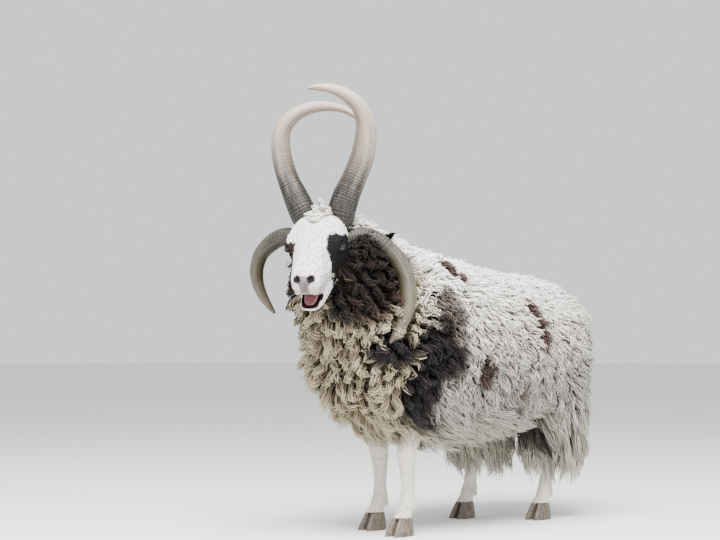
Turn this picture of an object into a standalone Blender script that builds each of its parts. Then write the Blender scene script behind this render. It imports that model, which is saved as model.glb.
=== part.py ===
# A life-size still model of a four-horned Jacob ram, standing with its head turned to its left
# and its mouth open. Units are metres. The ram faces -Y, its left side is +X, the floor is z = 0.
import math
import random

import bmesh
import bpy
import numpy as np
from mathutils import Matrix, Vector

# Driving sizes of the bare body
WITHERS = 0.70  # height of the bare back over the shoulder blades
BODY_LENGTH = 0.84  # from the point of the breast to the seat bones
BREAST_Y = -0.37
GAP = 0.0003  # between pieces that touch
SEED = 7

# The root of the model is moved by this much, so that the box of the whole ram is centred
ROOT_PLACE = Vector((0.0035, 0.036, 0.0))

# The torso: share of the body length, then top, bottom and half width as shares of the withers
TORSO = (
    (0.00, 0.830, 0.600, 0.100),
    (0.05, 0.900, 0.510, 0.180),
    (0.18, 1.000, 0.435, 0.240),
    (0.36, 0.975, 0.415, 0.278),
    (0.55, 0.935, 0.420, 0.292),
    (0.72, 0.915, 0.445, 0.280),
    (0.86, 0.905, 0.500, 0.250),
    (0.95, 0.875, 0.585, 0.190),
    (1.00, 0.830, 0.660, 0.110),
)

# The neck's centre line with its half width and half depth
NECK = (
    (Vector((0.000, -0.130, 0.495)), 0.125, 0.170),
    (Vector((0.000, -0.240, 0.560)), 0.122, 0.165),
    (Vector((0.000, -0.330, 0.625)), 0.106, 0.142),
    (Vector((0.004, -0.395, 0.685)), 0.086, 0.108),
    (Vector((0.010, -0.440, 0.728)), 0.070, 0.084),
)

# The breech: centre, half width and half length of the woolly thigh, for the left side
THIGH = (
    (Vector((0.090, 0.300, 0.520)), 0.085, 0.125),
    (Vector((0.105, 0.325, 0.420)), 0.080, 0.120),
    (Vector((0.105, 0.348, 0.330)), 0.062, 0.092),
    (Vector((0.100, 0.368, 0.255)), 0.044, 0.066),
    (Vector((0.096, 0.382, 0.200)), 0.030, 0.044),
)

# The fleece
# Planes that part the neck and the breeches from the trunk: a point and the way out of the trunk
NECK_CUT = (Vector((0, -0.260, 0.62)), Vector((0, -0.75, 0.66)).normalized())
BREECH_CUT = (Vector((0, 0.150, 0.215)), Vector((0, 0.37, -0.93)).normalized())
CORE_DEPTH = 0.022  # how far the closed underwool stands off the skin
CLUMP_PITCH = 0.1165
NAPE_CLEAR = 0.07  # no clump nearer than this to the nape, and to an ear's tip
EAR_CLEAR = 0.068
CANDIDATES = 25  # points drawn for each clump that is set
CLUMP_WIDTH = 0.064
CLUMP_THICK = 0.052
CLUMP_SUNK = 0.020

# The head, in its own frame: forward is -Y along the nose, up is +Z
POLL = Vector((0.015, -0.470, 0.785))
HEAD_TURN = math.radians(30)
HORN_TURN = math.radians(28)
HEAD_DROP = math.radians(34.5)
HORN_DROP = math.radians(6.5)
# distance from the back of the skull, top, bottom, half width, height of the widest line
SKULL = (
    (0.000, 0.012, -0.050, 0.039, -0.020),
    (0.018, 0.034, -0.078, 0.059, -0.020),
    (0.050, 0.046, -0.100, 0.070, -0.018),
    (0.085, 0.046, -0.100, 0.071, -0.012),
    (0.108, 0.041, -0.094, 0.065, -0.012),
    (0.132, 0.034, -0.084, 0.055, -0.018),
    (0.160, 0.026, -0.079, 0.046, -0.026),
    (0.180, 0.020, -0.075, 0.0420, -0.028),
    (0.200, 0.014, -0.068, 0.0400, -0.028),
    (0.224, 0.005, -0.060, 0.0375, -0.028),
    (0.243, -0.004, -0.055, 0.0325, -0.029),
    (0.254, -0.015, -0.047, 0.0205, -0.031),
)
JAW = (
    (0.050, -0.045, -0.105, 0.048, -0.070),
    (0.085, -0.050, -0.118, 0.048, -0.076),
    (0.120, -0.050, -0.110, 0.044, -0.075),
    (0.155, -0.052, -0.102, 0.0380, -0.076),
    (0.178, -0.052, -0.096, 0.0345, -0.076),
    (0.194, -0.066, -0.091, 0.0315, -0.077),
    (0.220, -0.061, -0.084, 0.0280, -0.071),
    (0.238, -0.058, -0.077, 0.0215, -0.067),
    (0.245, -0.060, -0.071, 0.0120, -0.065),
)
JAW_JOINT = Vector((0.0, -0.055, -0.045))
JAW_OPEN = math.radians(11)
EYE_RADIUS = 0.0135
EYE = Vector((0.0620, -0.107, -0.008))  # centre of the left eyeball

# Horns, in a frame at the poll that is turned nearly like the head but nearly level. Points and
# radii, mirrored for the horns of the right side.
UPPER_LEFT_HORN = (
    (Vector((0.039, 0.011, -0.005)), 0.0250),
    (Vector((0.045, 0.010, 0.023)), 0.0305),
    (Vector((0.056, 0.016, 0.060)), 0.0320),
    (Vector((0.075, 0.026, 0.104)), 0.0300),
    (Vector((0.092, 0.036, 0.148)), 0.0290),
    (Vector((0.102, 0.044, 0.194)), 0.0270),
    (Vector((0.104, 0.046, 0.240)), 0.0235),
    (Vector((0.090, 0.040, 0.281)), 0.0195),
    (Vector((0.060, 0.026, 0.312)), 0.0155),
    (Vector((0.026, 0.008, 0.328)), 0.0115),
    (Vector((-0.008, -0.010, 0.331)), 0.0070),
    (Vector((-0.024, -0.018, 0.329)), 0.0030),
)
UPPER_RIGHT_HORN = (
    (Vector((0.039, 0.011, -0.005)), 0.0250),
    (Vector((0.054, 0.010, 0.025)), 0.0285),
    (Vector((0.071, 0.016, 0.060)), 0.0285),
    (Vector((0.093, 0.026, 0.105)), 0.0260),
    (Vector((0.109, 0.036, 0.150)), 0.0245),
    (Vector((0.116, 0.044, 0.195)), 0.0230),
    (Vector((0.110, 0.050, 0.234)), 0.0205),
    (Vector((0.084, 0.058, 0.265)), 0.0175),
    (Vector((0.047, 0.070, 0.283)), 0.0150),
    (Vector((0.006, 0.084, 0.287)), 0.0120),
    (Vector((-0.036, 0.094, 0.278)), 0.0090),
    (Vector((-0.070, 0.098, 0.256)), 0.0055),
    (Vector((-0.084, 0.099, 0.240)), 0.0025),
)
LOWER_HORN_BASE = (
    (Vector((0.048, 0.011, -0.050)), 0.0185),
    (Vector((0.080, 0.026, -0.038)), 0.0220),
)
LOWER_LEFT_END = (
    (Vector((0.122, 0.044, -0.048)), 0.0218),
    (Vector((0.162, 0.052, -0.085)), 0.0215),
    (Vector((0.185, 0.052, -0.119)), 0.0220),
    (Vector((0.198, 0.046, -0.156)), 0.0215),
    (Vector((0.202, 0.036, -0.197)), 0.0205),
    (Vector((0.195, 0.022, -0.239)), 0.0172),
    (Vector((0.179, 0.006, -0.275)), 0.0120),
    (Vector((0.163, -0.007, -0.300)), 0.0038),
)
LOWER_RIGHT_END = (
    (Vector((0.117, 0.038, -0.038)), 0.0222),
    (Vector((0.148, 0.048, -0.052)), 0.0215),
    (Vector((0.180, 0.062, -0.079)), 0.0197),
    (Vector((0.196, 0.070, -0.114)), 0.0183),
    (Vector((0.197, 0.072, -0.150)), 0.0165),
    (Vector((0.185, 0.070, -0.184)), 0.0133),
    (Vector((0.166, 0.064, -0.212)), 0.0090),
    (Vector((0.149, 0.058, -0.231)), 0.0035),
)
HORN_RINGS = 3  # path points between two named points, where the growth rings sit
RING_RELIEF = 0.035  # growth ring height as a share of the horn's radius

# Ears: base, middle and tip in the horns' frame, for the left side
EAR_LINE = (
    Vector((0.040, 0.048, -0.080)),
    Vector((0.100, 0.104, -0.084)),
    Vector((0.150, 0.132, -0.036)),
)
EAR_HALF_WIDTH = 0.026
EAR_WALL = 0.0032

# Legs: where each foot stands
FRONT_FEET = {"left": Vector((0.075, -0.225, 0.0)), "right": Vector((-0.075, -0.160, 0.0))}
HIND_FEET = {"left": Vector((0.090, 0.345, 0.0)), "right": Vector((-0.090, 0.235, 0.0))}
ELBOW = Vector((0.095, -0.180, 0.0))
STIFLE = Vector((0.100, 0.290, 0.0))
HOOF_HEIGHT = 0.044
# height, how much of the way from the joint above to the foot, step back, half width, half length
FRONT_LEG = (
    (0.400, 0.00, 0.000, 0.042, 0.060),
    (0.340, 0.00, 0.000, 0.036, 0.050),
    (0.280, 0.45, 0.004, 0.0285, 0.036),
    (0.235, 0.85, 0.004, 0.0225, 0.026),
    (0.205, 1.00, 0.000, 0.0235, 0.025),
    (0.178, 1.00, 0.003, 0.0180, 0.020),
    (0.135, 1.00, 0.005, 0.0145, 0.0165),
    (0.098, 1.00, 0.006, 0.0160, 0.0185),
    (0.078, 1.00, 0.004, 0.0205, 0.0215),
    (0.060, 1.00, -0.006, 0.0185, 0.0200),
    (0.0443, 1.00, -0.016, 0.0215, 0.0250),
)
HIND_LEG = (
    (0.430, 0.00, 0.000, 0.045, 0.075),
    (0.370, 0.10, 0.005, 0.040, 0.062),
    (0.300, 0.50, 0.012, 0.030, 0.043),
    (0.250, 0.85, 0.030, 0.0220, 0.032),
    (0.222, 1.00, 0.036, 0.0215, 0.031),
    (0.192, 1.00, 0.030, 0.0185, 0.0235),
    (0.140, 1.00, 0.018, 0.0150, 0.0175),
    (0.098, 1.00, 0.010, 0.0165, 0.0190),
    (0.078, 1.00, 0.006, 0.0205, 0.0220),
    (0.060, 1.00, -0.006, 0.0185, 0.0200),
    (0.0443, 1.00, -0.016, 0.0215, 0.0250),
)

TAIL = (
    (Vector((0.0, 0.430, 0.560)), 0.024),
    (Vector((0.0, 0.480, 0.548)), 0.024),
    (Vector((0.0, 0.520, 0.510)), 0.024),
    (Vector((0.0, 0.538, 0.445)), 0.022),
    (Vector((0.0, 0.540, 0.375)), 0.019),
    (Vector((0.0, 0.535, 0.315)), 0.013),
)
TAIL_PITCH = 0.055
TAIL_WOOL = 0.50  # size of its clumps against the body's

COLOURS = {
    "wool": (0.62, 0.58, 0.52),
    "face": (0.78, 0.77, 0.75),
    "dark": (0.035, 0.030, 0.028),
    "horn": (0.33, 0.28, 0.22),
    "leg": (0.74, 0.72, 0.68),
    "hoof": (0.06, 0.05, 0.045),
    "eye": (0.30, 0.17, 0.05),
    "tongue": (0.55, 0.24, 0.24),
}


def clear_scene():
    for old in list(bpy.data.objects):
        bpy.data.objects.remove(old)


def new_collection(name):
    made = bpy.data.collections.new(name)
    bpy.context.scene.collection.children.link(made)
    return made


def finish(name, roughness=0.8):
    made = bpy.data.materials.new(name)
    made.use_nodes = True
    shader = made.node_tree.nodes["Principled BSDF"]
    shader.inputs["Base Color"].default_value = (*COLOURS[name], 1)
    shader.inputs["Roughness"].default_value = roughness
    return made


def object_of(bm, name, collection):
    """Turns a bmesh into an object with its faces pointing out."""
    bmesh.ops.recalc_face_normals(bm, faces=bm.faces)
    if bm.calc_volume(signed=True) < 0:
        bmesh.ops.reverse_faces(bm, faces=bm.faces)
    mesh = bpy.data.meshes.new(name)
    bm.to_mesh(mesh)
    bm.free()
    made = bpy.data.objects.new(name, mesh)
    collection.objects.link(made)
    return made


def loft(name, rings, collection):
    """A closed body through rings of equally many points."""
    bm = bmesh.new()
    loops = [[bm.verts.new(point) for point in ring] for ring in rings]
    sides = len(rings[0])
    for first, second in zip(loops, loops[1:]):
        for i in range(sides):
            j = (i + 1) % sides
            bm.faces.new((first[i], first[j], second[j], second[i]))
    bm.faces.new(loops[0])
    bm.faces.new(loops[-1])
    return object_of(bm, name, collection)


def power(value, exponent):
    return math.copysign(abs(value) ** exponent, value)


def oval(centre, across, up, half_width, half_height, sides, square=2.0):
    """A ring of points round centre; square above 2 fills out its corners."""
    points = []
    for i in range(sides):
        turn = math.tau * (i + 0.5) / sides
        side = power(math.sin(turn), 2 / square) * half_width
        rise = power(math.cos(turn), 2 / square) * half_height
        points.append(centre + across * side + up * rise)
    return points


def smooth_path(stations, steps):
    """Catmull-Rom points through (point, radius) stations, steps for each span."""
    count = len(stations)
    path = []
    for i in range(count - 1):
        (p0, r0), (p1, r1), (p2, r2), (p3, r3) = (
            stations[min(max(i + k, 0), count - 1)] for k in (-1, 0, 1, 2)
        )
        for step in range(steps):
            t = step / steps
            weights = (
                (-t + 2 * t**2 - t**3) / 2,
                (2 - 5 * t**2 + 3 * t**3) / 2,
                (t + 4 * t**2 - 3 * t**3) / 2,
                (t**3 - t**2) / 2,
            )
            point = sum((p * w for p, w in zip((p0, p1, p2, p3), weights)), Vector())
            radius = sum(r * w for r, w in zip((r0, r1, r2, r3), weights))
            path.append((point, radius))
    path.append(stations[-1])
    return path


def tube(name, path, collection, sides_resolution=3):
    """A curve with its own radius at each point, made a closed mesh."""
    curve = bpy.data.curves.new(name, "CURVE")
    curve.dimensions = "3D"
    curve.bevel_depth = 1.0
    curve.bevel_resolution = sides_resolution
    curve.use_fill_caps = True
    spline = curve.splines.new("POLY")
    spline.points.add(len(path) - 1)
    for dot, (point, radius) in zip(spline.points, path):
        dot.co = (*point, 1)
        dot.radius = radius
    guide = bpy.data.objects.new(name + "_line", curve)
    collection.objects.link(guide)
    graph = bpy.context.evaluated_depsgraph_get()
    mesh = bpy.data.meshes.new_from_object(guide.evaluated_get(graph))
    bm = bmesh.new()
    bm.from_mesh(mesh)
    bmesh.ops.remove_doubles(bm, verts=bm.verts, dist=0.00005)
    bpy.data.objects.remove(guide)
    return object_of(bm, name, collection)


def ball(name, place, sizes, collection, segments=12, rings=8):
    """An ellipsoid; place is a matrix, sizes are its three half axes."""
    bm = bmesh.new()
    bmesh.ops.create_uvsphere(bm, u_segments=segments, v_segments=rings, radius=1)
    bm.transform(place @ Matrix.Diagonal((*sizes, 1)))
    return object_of(bm, name, collection)


def mesh_of(made):
    graph = bpy.context.evaluated_depsgraph_get()
    return bpy.data.meshes.new_from_object(made.evaluated_get(graph))


def keep_largest(mesh):
    """Keeps the closed surface with the largest volume."""
    bm = bmesh.new()
    bm.from_mesh(mesh)
    bmesh.ops.triangulate(bm, faces=bm.faces)
    left = set(bm.faces)
    shells = []
    while left:
        shell = {left.pop()}
        front = list(shell)
        while front:
            face = front.pop()
            for edge in face.edges:
                for other in edge.link_faces if len(edge.link_faces) == 2 else ():
                    if other in left:
                        left.discard(other)
                        shell.add(other)
                        front.append(other)
        volume = sum(
            face.calc_center_median().dot(face.normal) * face.calc_area() for face in shell
        )
        shells.append((volume, shell))
    largest = max(shells, key=lambda entry: entry[0])[1]
    loose = [face for face in bm.faces if face not in largest]
    bmesh.ops.delete(bm, geom=loose, context="FACES")
    stray = [vert for vert in bm.verts if not vert.link_faces]
    bmesh.ops.delete(bm, geom=stray, context="VERTS")
    bm.to_mesh(mesh)
    bm.free()


def combine(base, others, operation, solver="MANIFOLD"):
    """One applied Boolean of base with a collection of others, which are then removed."""
    group = bpy.data.collections.new("joined")
    bpy.context.scene.collection.children.link(group)
    for other in others:
        for holder in list(other.users_collection):
            holder.objects.unlink(other)
        group.objects.link(other)
    modifier = base.modifiers.new("boolean", "BOOLEAN")
    modifier.operand_type = "COLLECTION"
    modifier.collection = group
    modifier.operation = operation
    modifier.solver = solver
    mesh = mesh_of(base)
    base.modifiers.clear()
    keep_largest(mesh)
    base.data = mesh
    for other in others:
        bpy.data.objects.remove(other)
    bpy.data.collections.remove(group)
    return base


def grown(made, margin, collection, hull=False):
    """A copy, or its convex hull, pushed out along its normals to cut a neighbour clear of it."""
    bm = bmesh.new()
    if hull:
        for vert in made.data.vertices:
            bm.verts.new(vert.co)
        bmesh.ops.convex_hull(bm, input=bm.verts)
        loose = [vert for vert in bm.verts if not vert.link_faces]
        bmesh.ops.delete(bm, geom=loose, context="VERTS")
    else:
        bm.from_mesh(made.data)
    bm.normal_update()
    pushed = [vert.co + vert.normal * margin * vert.calc_shell_factor() for vert in bm.verts]
    for vert, point in zip(bm.verts, pushed):
        vert.co = point
    return object_of(bm, made.name + "_room", collection)


def half_space(name, point, normal, collection):
    """A large box on the side of the plane that the normal points to."""
    size = 3.0
    bm = bmesh.new()
    bmesh.ops.create_cube(bm, size=size)
    place = Matrix.Translation(point) @ normal.to_track_quat("Z", "Y").to_matrix().to_4x4()
    bm.transform(place @ Matrix.Translation((0, 0, size / 2)))
    return object_of(bm, name, collection)


def mirrored(point, side):
    return point if side == "left" else Vector((-point.x, point.y, point.z))


def head_frame():
    turn = Matrix.Rotation(HEAD_TURN, 4, "Z")
    return Matrix.Translation(POLL) @ turn @ Matrix.Rotation(HEAD_DROP, 4, "X")


def horn_frame():
    turn = Matrix.Rotation(HORN_TURN, 4, "Z")
    return Matrix.Translation(POLL) @ turn @ Matrix.Rotation(HORN_DROP, 4, "X")


def torso_core(collection, off=CORE_DEPTH, sides=22):
    rings = []
    last = len(TORSO) - 1
    for i, (share, top, bottom, half_width) in enumerate(TORSO):
        end = off * ((i == last) - (i == 0))
        y = BREAST_Y + share * BODY_LENGTH + end
        centre = Vector((0, y, (top + bottom) / 2 * WITHERS))
        half_height = (top - bottom) / 2 * WITHERS + off
        wide = half_width * WITHERS + off
        ring = oval(centre, Vector((1, 0, 0)), Vector((0, 0, 1)), wide, half_height, sides, 2.2)
        rings.append(ring)
    return loft("torso_core", rings, collection)


def path_loft(name, stations, off, collection, sides=16):
    """A loft along a bent line whose sections stay square to it."""
    rings = []
    last = len(stations) - 1
    for i, (centre, half_width, half_depth) in enumerate(stations):
        ahead = stations[min(i + 1, last)][0] - stations[max(i - 1, 0)][0]
        ahead.normalize()
        across = Vector((1, 0, 0))
        across = (across - ahead * across.dot(ahead)).normalized()
        up = across.cross(ahead)
        rings.append(oval(centre, across, up, half_width + off, half_depth + off, sides))
    return loft(name, rings, collection)


def thigh_core(side, collection):
    step = HIND_FEET[side].y - HIND_FEET["left"].y
    stations = []
    for i, (centre, half_width, half_length) in enumerate(THIGH):
        moved = mirrored(centre, side) + Vector((0, step * i / len(THIGH), 0))
        stations.append((moved, half_width, half_length))
    return path_loft("thigh_core", stations, CORE_DEPTH, collection)


def spread_points(mesh, pitch, rng):
    """Points on a mesh about a pitch apart, each as far as it can be from those before it."""
    mesh.calc_loop_triangles()
    triangles = [t for t in mesh.loop_triangles if t.area > 0]
    areas = [t.area for t in triangles]
    count = round(sum(areas) / pitch**2)
    drawn = rng.choices(triangles, areas, k=count * CANDIDATES)
    points = []
    for triangle in drawn:
        a, b, c = (mesh.vertices[i].co for i in triangle.vertices)
        u, v = sorted((rng.random(), rng.random()))
        points.append(a * u + b * (v - u) + c * (1 - v))
    places = np.array(points)
    away = np.full(len(places), np.inf)
    kept = []
    pick = 0
    for _ in range(count):
        kept.append((points[pick], drawn[pick].normal.copy()))
        away = np.minimum(away, np.linalg.norm(places - places[pick], axis=1))
        pick = int(np.argmax(away))
    return kept


def wool_length(point, normal):
    """How far a clump reaches past the core: short on the back, long on the breast and breech."""
    length = 0.034
    if normal.z > 0.5:
        length -= 0.008
    if point.z < 0.42:
        length += 0.012
    if point.y < -0.30:
        length += 0.006
    return length


def wool_lie(point, normal):
    """The way the wool hangs there: down and a little to the rear, over the surface."""
    hang = Vector((0, 0.25, -1.0))
    if normal.z > 0.5:
        hang = Vector((math.copysign(0.8, point.x), 0.5, -0.4))
    along = hang - normal * hang.dot(normal)
    if along.length < 0.2:
        along = Vector((0, 1, 0)) - normal * normal.y
    return along.normalized()


def clump(name, point, normal, scale, rng, collection):
    """A rounded lock of wool: widest near its root, bent down towards its tip."""
    reach = wool_length(point, normal) * scale
    lie = wool_lie(point, normal)
    lean = 0.95 if normal.z > -0.4 else 0.35
    axis = (normal + lie * lean * rng.uniform(0.8, 1.2)).normalized()
    across = lie.cross(normal).normalized()
    twist = rng.uniform(-0.3, 0.3)
    across = (across + lie * twist).normalized()
    across = (across - axis * across.dot(axis)).normalized()
    thick = axis.cross(across)
    length = (reach + CLUMP_SUNK) / max(axis.dot(normal), 0.6)
    width = CLUMP_WIDTH * scale * rng.uniform(0.9, 1.12)
    depth = CLUMP_THICK * scale * rng.uniform(0.9, 1.1)
    root = point - normal * CLUMP_SUNK
    bm = bmesh.new()
    bmesh.ops.create_uvsphere(bm, u_segments=6, v_segments=4, radius=1)
    for vert in bm.verts:
        t = (vert.co.z + 1) / 2
        taper = 1.10 - 0.40 * t
        droop = Vector((0, 0, -0.16 * length * t * t))
        if normal.z < -0.4:
            droop *= 0.3
        vert.co = (
            root
            + axis * (length * t)
            + across * (vert.co.x * width * taper)
            + thick * (vert.co.y * depth * taper)
            + droop
        )
    return object_of(bm, name, collection)


def fleece(core, pitch, keep, scale, rng, collection):
    """Clumps set close all over a core."""
    made = []
    for point, normal in spread_points(core.data, pitch, rng):
        if keep(point):
            made.append(clump("clump", point, normal, scale, rng, collection))
    return made


def parted(trunk, name, cut, collection, side=None):
    """Parts what lies ahead of a plane, or its left or right half, from the trunk by a thin cut."""
    point, normal = cut
    piece = trunk.copy()
    piece.data = trunk.data.copy()
    collection.objects.link(piece)
    rooms = []
    for gap in (GAP, 0):
        ahead = half_space("ahead", point - normal * gap, normal, collection)
        if side:
            across = mirrored(Vector((1, 0, 0)), side)
            middle = half_space("middle", across * (GAP - gap), across, collection)
            combine(ahead, [middle], "INTERSECT")
        rooms.append(ahead)
    combine(trunk, rooms[:1], "DIFFERENCE")
    combine(piece, rooms[1:], "INTERSECT")
    piece.name = name
    return piece, trunk


def torso_and_neck(rng, collection):
    """The trunk with its fleece, modelled whole and parted by thin cuts at the neck and breeches."""
    trunk = torso_core(collection)
    neck = path_loft("neck_core", NECK, CORE_DEPTH, collection, 18)
    thighs = [thigh_core(side, collection) for side in ("left", "right")]
    combine(trunk, [neck, *thighs], "UNION")
    bare = [(NECK[-1][0], NAPE_CLEAR)]
    bare += [(horn_frame() @ mirrored(EAR_LINE[-1], side), EAR_CLEAR) for side in ("left", "right")]
    clumps = fleece(
        trunk,
        CLUMP_PITCH,
        lambda point: all((point - spot).length > reach for spot, reach in bare),
        1.0,
        rng,
        collection,
    )
    print("fleece clumps", len(clumps))
    combine(trunk, clumps, "UNION")
    front, trunk = parted(trunk, "neck", NECK_CUT, collection)
    breeches = []
    for side in ("left", "right"):
        breech, trunk = parted(trunk, "breech_" + side, BREECH_CUT, collection, side)
        breeches.append(breech)
    trunk.name = "torso"
    return trunk, front, breeches


def head_ring(station, frame, hinge=None):
    distance, top, bottom, half_width, widest = station
    points = []
    sides = 16
    for i in range(sides):
        turn = math.tau * (i + 0.5) / sides
        reach = top - widest if math.cos(turn) > 0 else widest - bottom
        side = power(math.sin(turn), 0.92) * half_width
        rise = power(math.cos(turn), 0.92) * reach
        point = Vector((side, -distance, widest + rise))
        if hinge:
            point = hinge @ point
        points.append(frame @ point)
    return points


def jaw_hinge():
    place = Matrix.Translation(JAW_JOINT)
    return place @ Matrix.Rotation(JAW_OPEN, 4, "X") @ place.inverted()


def eye_place(side, frame):
    """The eyeball's frame: its own +Z looks out sideways, a little forward and up."""
    look = mirrored(Vector((0.86, -0.42, 0.20)), side).normalized()
    turn = look.to_track_quat("Z", "Y").to_matrix().to_4x4()
    return frame @ Matrix.Translation(mirrored(EYE, side)) @ turn


def lip_line(stations, frame, low, hinge=None):
    """Points along the edge of the mouth, from one corner round the front to the other."""
    half = []
    for distance, top, bottom, half_width, widest in stations:
        height = bottom if low else top
        half.append(Vector((half_width * 0.74, -distance, height * 0.92 + widest * 0.08)))
    line = [Vector((-p.x, p.y, p.z)) for p in half] + half[::-1]
    if hinge:
        line = [hinge @ point for point in line]
    return [frame @ point for point in line]


def head(collection):
    frame = head_frame()
    hinge = jaw_hinge()
    skull = loft("head", [head_ring(s, frame) for s in SKULL], collection)
    joined = [loft("jaw", [head_ring(s, frame, hinge) for s in JAW], collection)]
    upper = [(point, 0.0042) for point in lip_line(SKULL[7:], frame, True)]
    lower = [(point, 0.0036) for point in lip_line(JAW[5:], frame, False, hinge)]
    joined.append(tube("upper_lip", upper, collection, 0))
    joined.append(tube("lower_lip", lower, collection, 0))
    for side in ("left", "right"):
        brow = frame @ Matrix.Translation(mirrored(EYE + Vector((-0.012, 0.004, 0.004)), side))
        joined.append(ball("brow", brow, (0.018, 0.029, 0.022), collection, 10, 7))
        bm = bmesh.new()
        bmesh.ops.create_circle(bm, segments=10, radius=1)
        place = eye_place(side, frame)
        rim = [
            place @ Vector((v.co.x * 0.0140, v.co.y * 0.0112, EYE_RADIUS * 0.62)) for v in bm.verts
        ]
        bm.free()
        rim.append(rim[0])
        joined.append(tube("lid", [(point, 0.0030) for point in rim], collection, 0))
    combine(skull, joined, "UNION", "EXACT")
    cutters = []
    for side in ("left", "right"):
        slant = Matrix.Rotation(math.radians(-35 if side == "left" else 35), 4, "Y")
        place = frame @ Matrix.Translation(mirrored(Vector((0.0175, -0.249, -0.0135)), side)) @ slant
        cutters.append(ball("nostril", place, (0.0038, 0.0105, 0.0080), collection, 8, 6))
    combine(skull, cutters, "DIFFERENCE")
    return skull


def tongue(collection):
    """A soft slab that lies along the lower jaw and rises a little towards its root."""
    frame = head_frame() @ jaw_hinge()
    stations = ((0.172, 0.0150), (0.188, 0.0165), (0.208, 0.0165), (0.227, 0.0140), (0.236, 0.0080))
    rings = []
    for distance, half_width in stations:
        centre = Vector((0, -distance, -0.0585 + 0.03 * (0.236 - distance)))
        ring = oval(centre, Vector((1, 0, 0)), Vector((0, 0, 1)), half_width, 0.0058, 10)
        rings.append([frame @ point for point in ring])
    return loft("tongue", rings, collection)


def eye(side, collection):
    place = eye_place(side, head_frame())
    return ball("eye_" + side, place, (EYE_RADIUS,) * 3, collection, 10, 8)


def horn(name, stations, side, collection):
    """A horn along a smooth line, with growth rings that fade towards its tip."""
    frame = horn_frame()
    path = []
    smooth = smooth_path(stations, HORN_RINGS)
    for i, (point, radius) in enumerate(smooth):
        along = i / (len(smooth) - 1)
        relief = RING_RELIEF * (1 - along) if i % 2 else 0
        path.append((frame @ mirrored(point, side), radius * (1 + relief)))
    return tube(name, path, collection, 3)


def ear(side, collection):
    """A leaf-shaped cup that opens forward and down."""
    base, middle, tip = (mirrored(p, side) for p in EAR_LINE)
    frame = horn_frame()
    rings = []
    steps = 6
    arc = 4
    for i in range(steps + 1):
        t = i / steps
        centre = base * (1 - t) ** 2 + middle * 2 * t * (1 - t) + tip * t**2
        ahead = ((middle - base) * (1 - t) + (tip - middle) * t).normalized()
        opening = Vector((0, -0.75, -0.65))
        opening = (opening - ahead * opening.dot(ahead)).normalized()
        across = ahead.cross(opening)
        leaf = math.sin(math.pi * min(0.22 + 0.78 * t, 0.985)) ** 0.75
        width = EAR_HALF_WIDTH * leaf
        spread = math.radians(100 - 35 * t)
        outer, inner = [], []
        for k in range(arc + 1):
            turn = spread * (2 * k / arc - 1)
            radius = width / math.sin(min(spread, math.pi / 2))
            reach = across * math.sin(turn) - opening * (math.cos(turn) - math.cos(spread) * 0.5)
            outer.append(centre + reach * radius)
            wall = min(EAR_WALL, radius * 0.45)
            inner.append(centre + reach * (radius - wall))
        rings.append([frame @ point for point in outer + inner[::-1]])
    return loft("ear_" + side, rings, collection)


def leg(name, stations, side, joint, foot, collection):
    joint = mirrored(joint, side)
    rings = []
    for height, way, back, half_width, half_length in stations:
        centre = joint.lerp(foot, way) + Vector((0, back, height))
        ring = oval(centre, Vector((1, 0, 0)), Vector((0, 1, 0)), half_width, half_length, 12)
        rings.append(ring)
    made = loft(name, rings[::-1], collection)
    claws = []
    for x in (-0.010, 0.010):
        place = Matrix.Translation(foot + Vector((x, 0.022, 0.066)))
        claws.append(ball("dewclaw", place, (0.0055, 0.0065, 0.0075), collection, 6, 5))
    return combine(made, claws, "UNION")


def hoof(name, foot, collection):
    """Two claws that share a heel: a sloping block with a cleft cut from the front."""
    top = foot + Vector((0, -0.016, HOOF_HEIGHT))
    sole = foot + Vector((0, -0.027, 0))
    middle = top.lerp(sole, 0.5)
    across, along = Vector((1, 0, 0)), Vector((0, 1, 0))
    rings = [
        oval(sole, across, along, 0.0255, 0.0365, 14, 2.4),
        oval(middle, across, along, 0.0245, 0.0315, 14, 2.2),
        oval(top, across, along, 0.0215, 0.0250, 14),
    ]
    made = loft(name, rings, collection)
    bm = bmesh.new()
    bmesh.ops.create_cube(bm, size=1)
    cleft = Matrix.Translation(sole + Vector((0, -0.018, 0.018)))
    bm.transform(cleft @ Matrix.Diagonal((0.0045, 0.068, 0.058, 1)))
    return combine(made, [object_of(bm, "cleft", collection)], "DIFFERENCE")


def tail(rng, collection):
    core = tube("tail", smooth_path(TAIL, 2), collection, 2)
    root = TAIL[1][0]
    clumps = fleece(
        core,
        TAIL_PITCH,
        lambda point: point.y > root.y and point.z < root.z,
        TAIL_WOOL,
        rng,
        collection,
    )
    return combine(core, clumps, "UNION")


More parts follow.
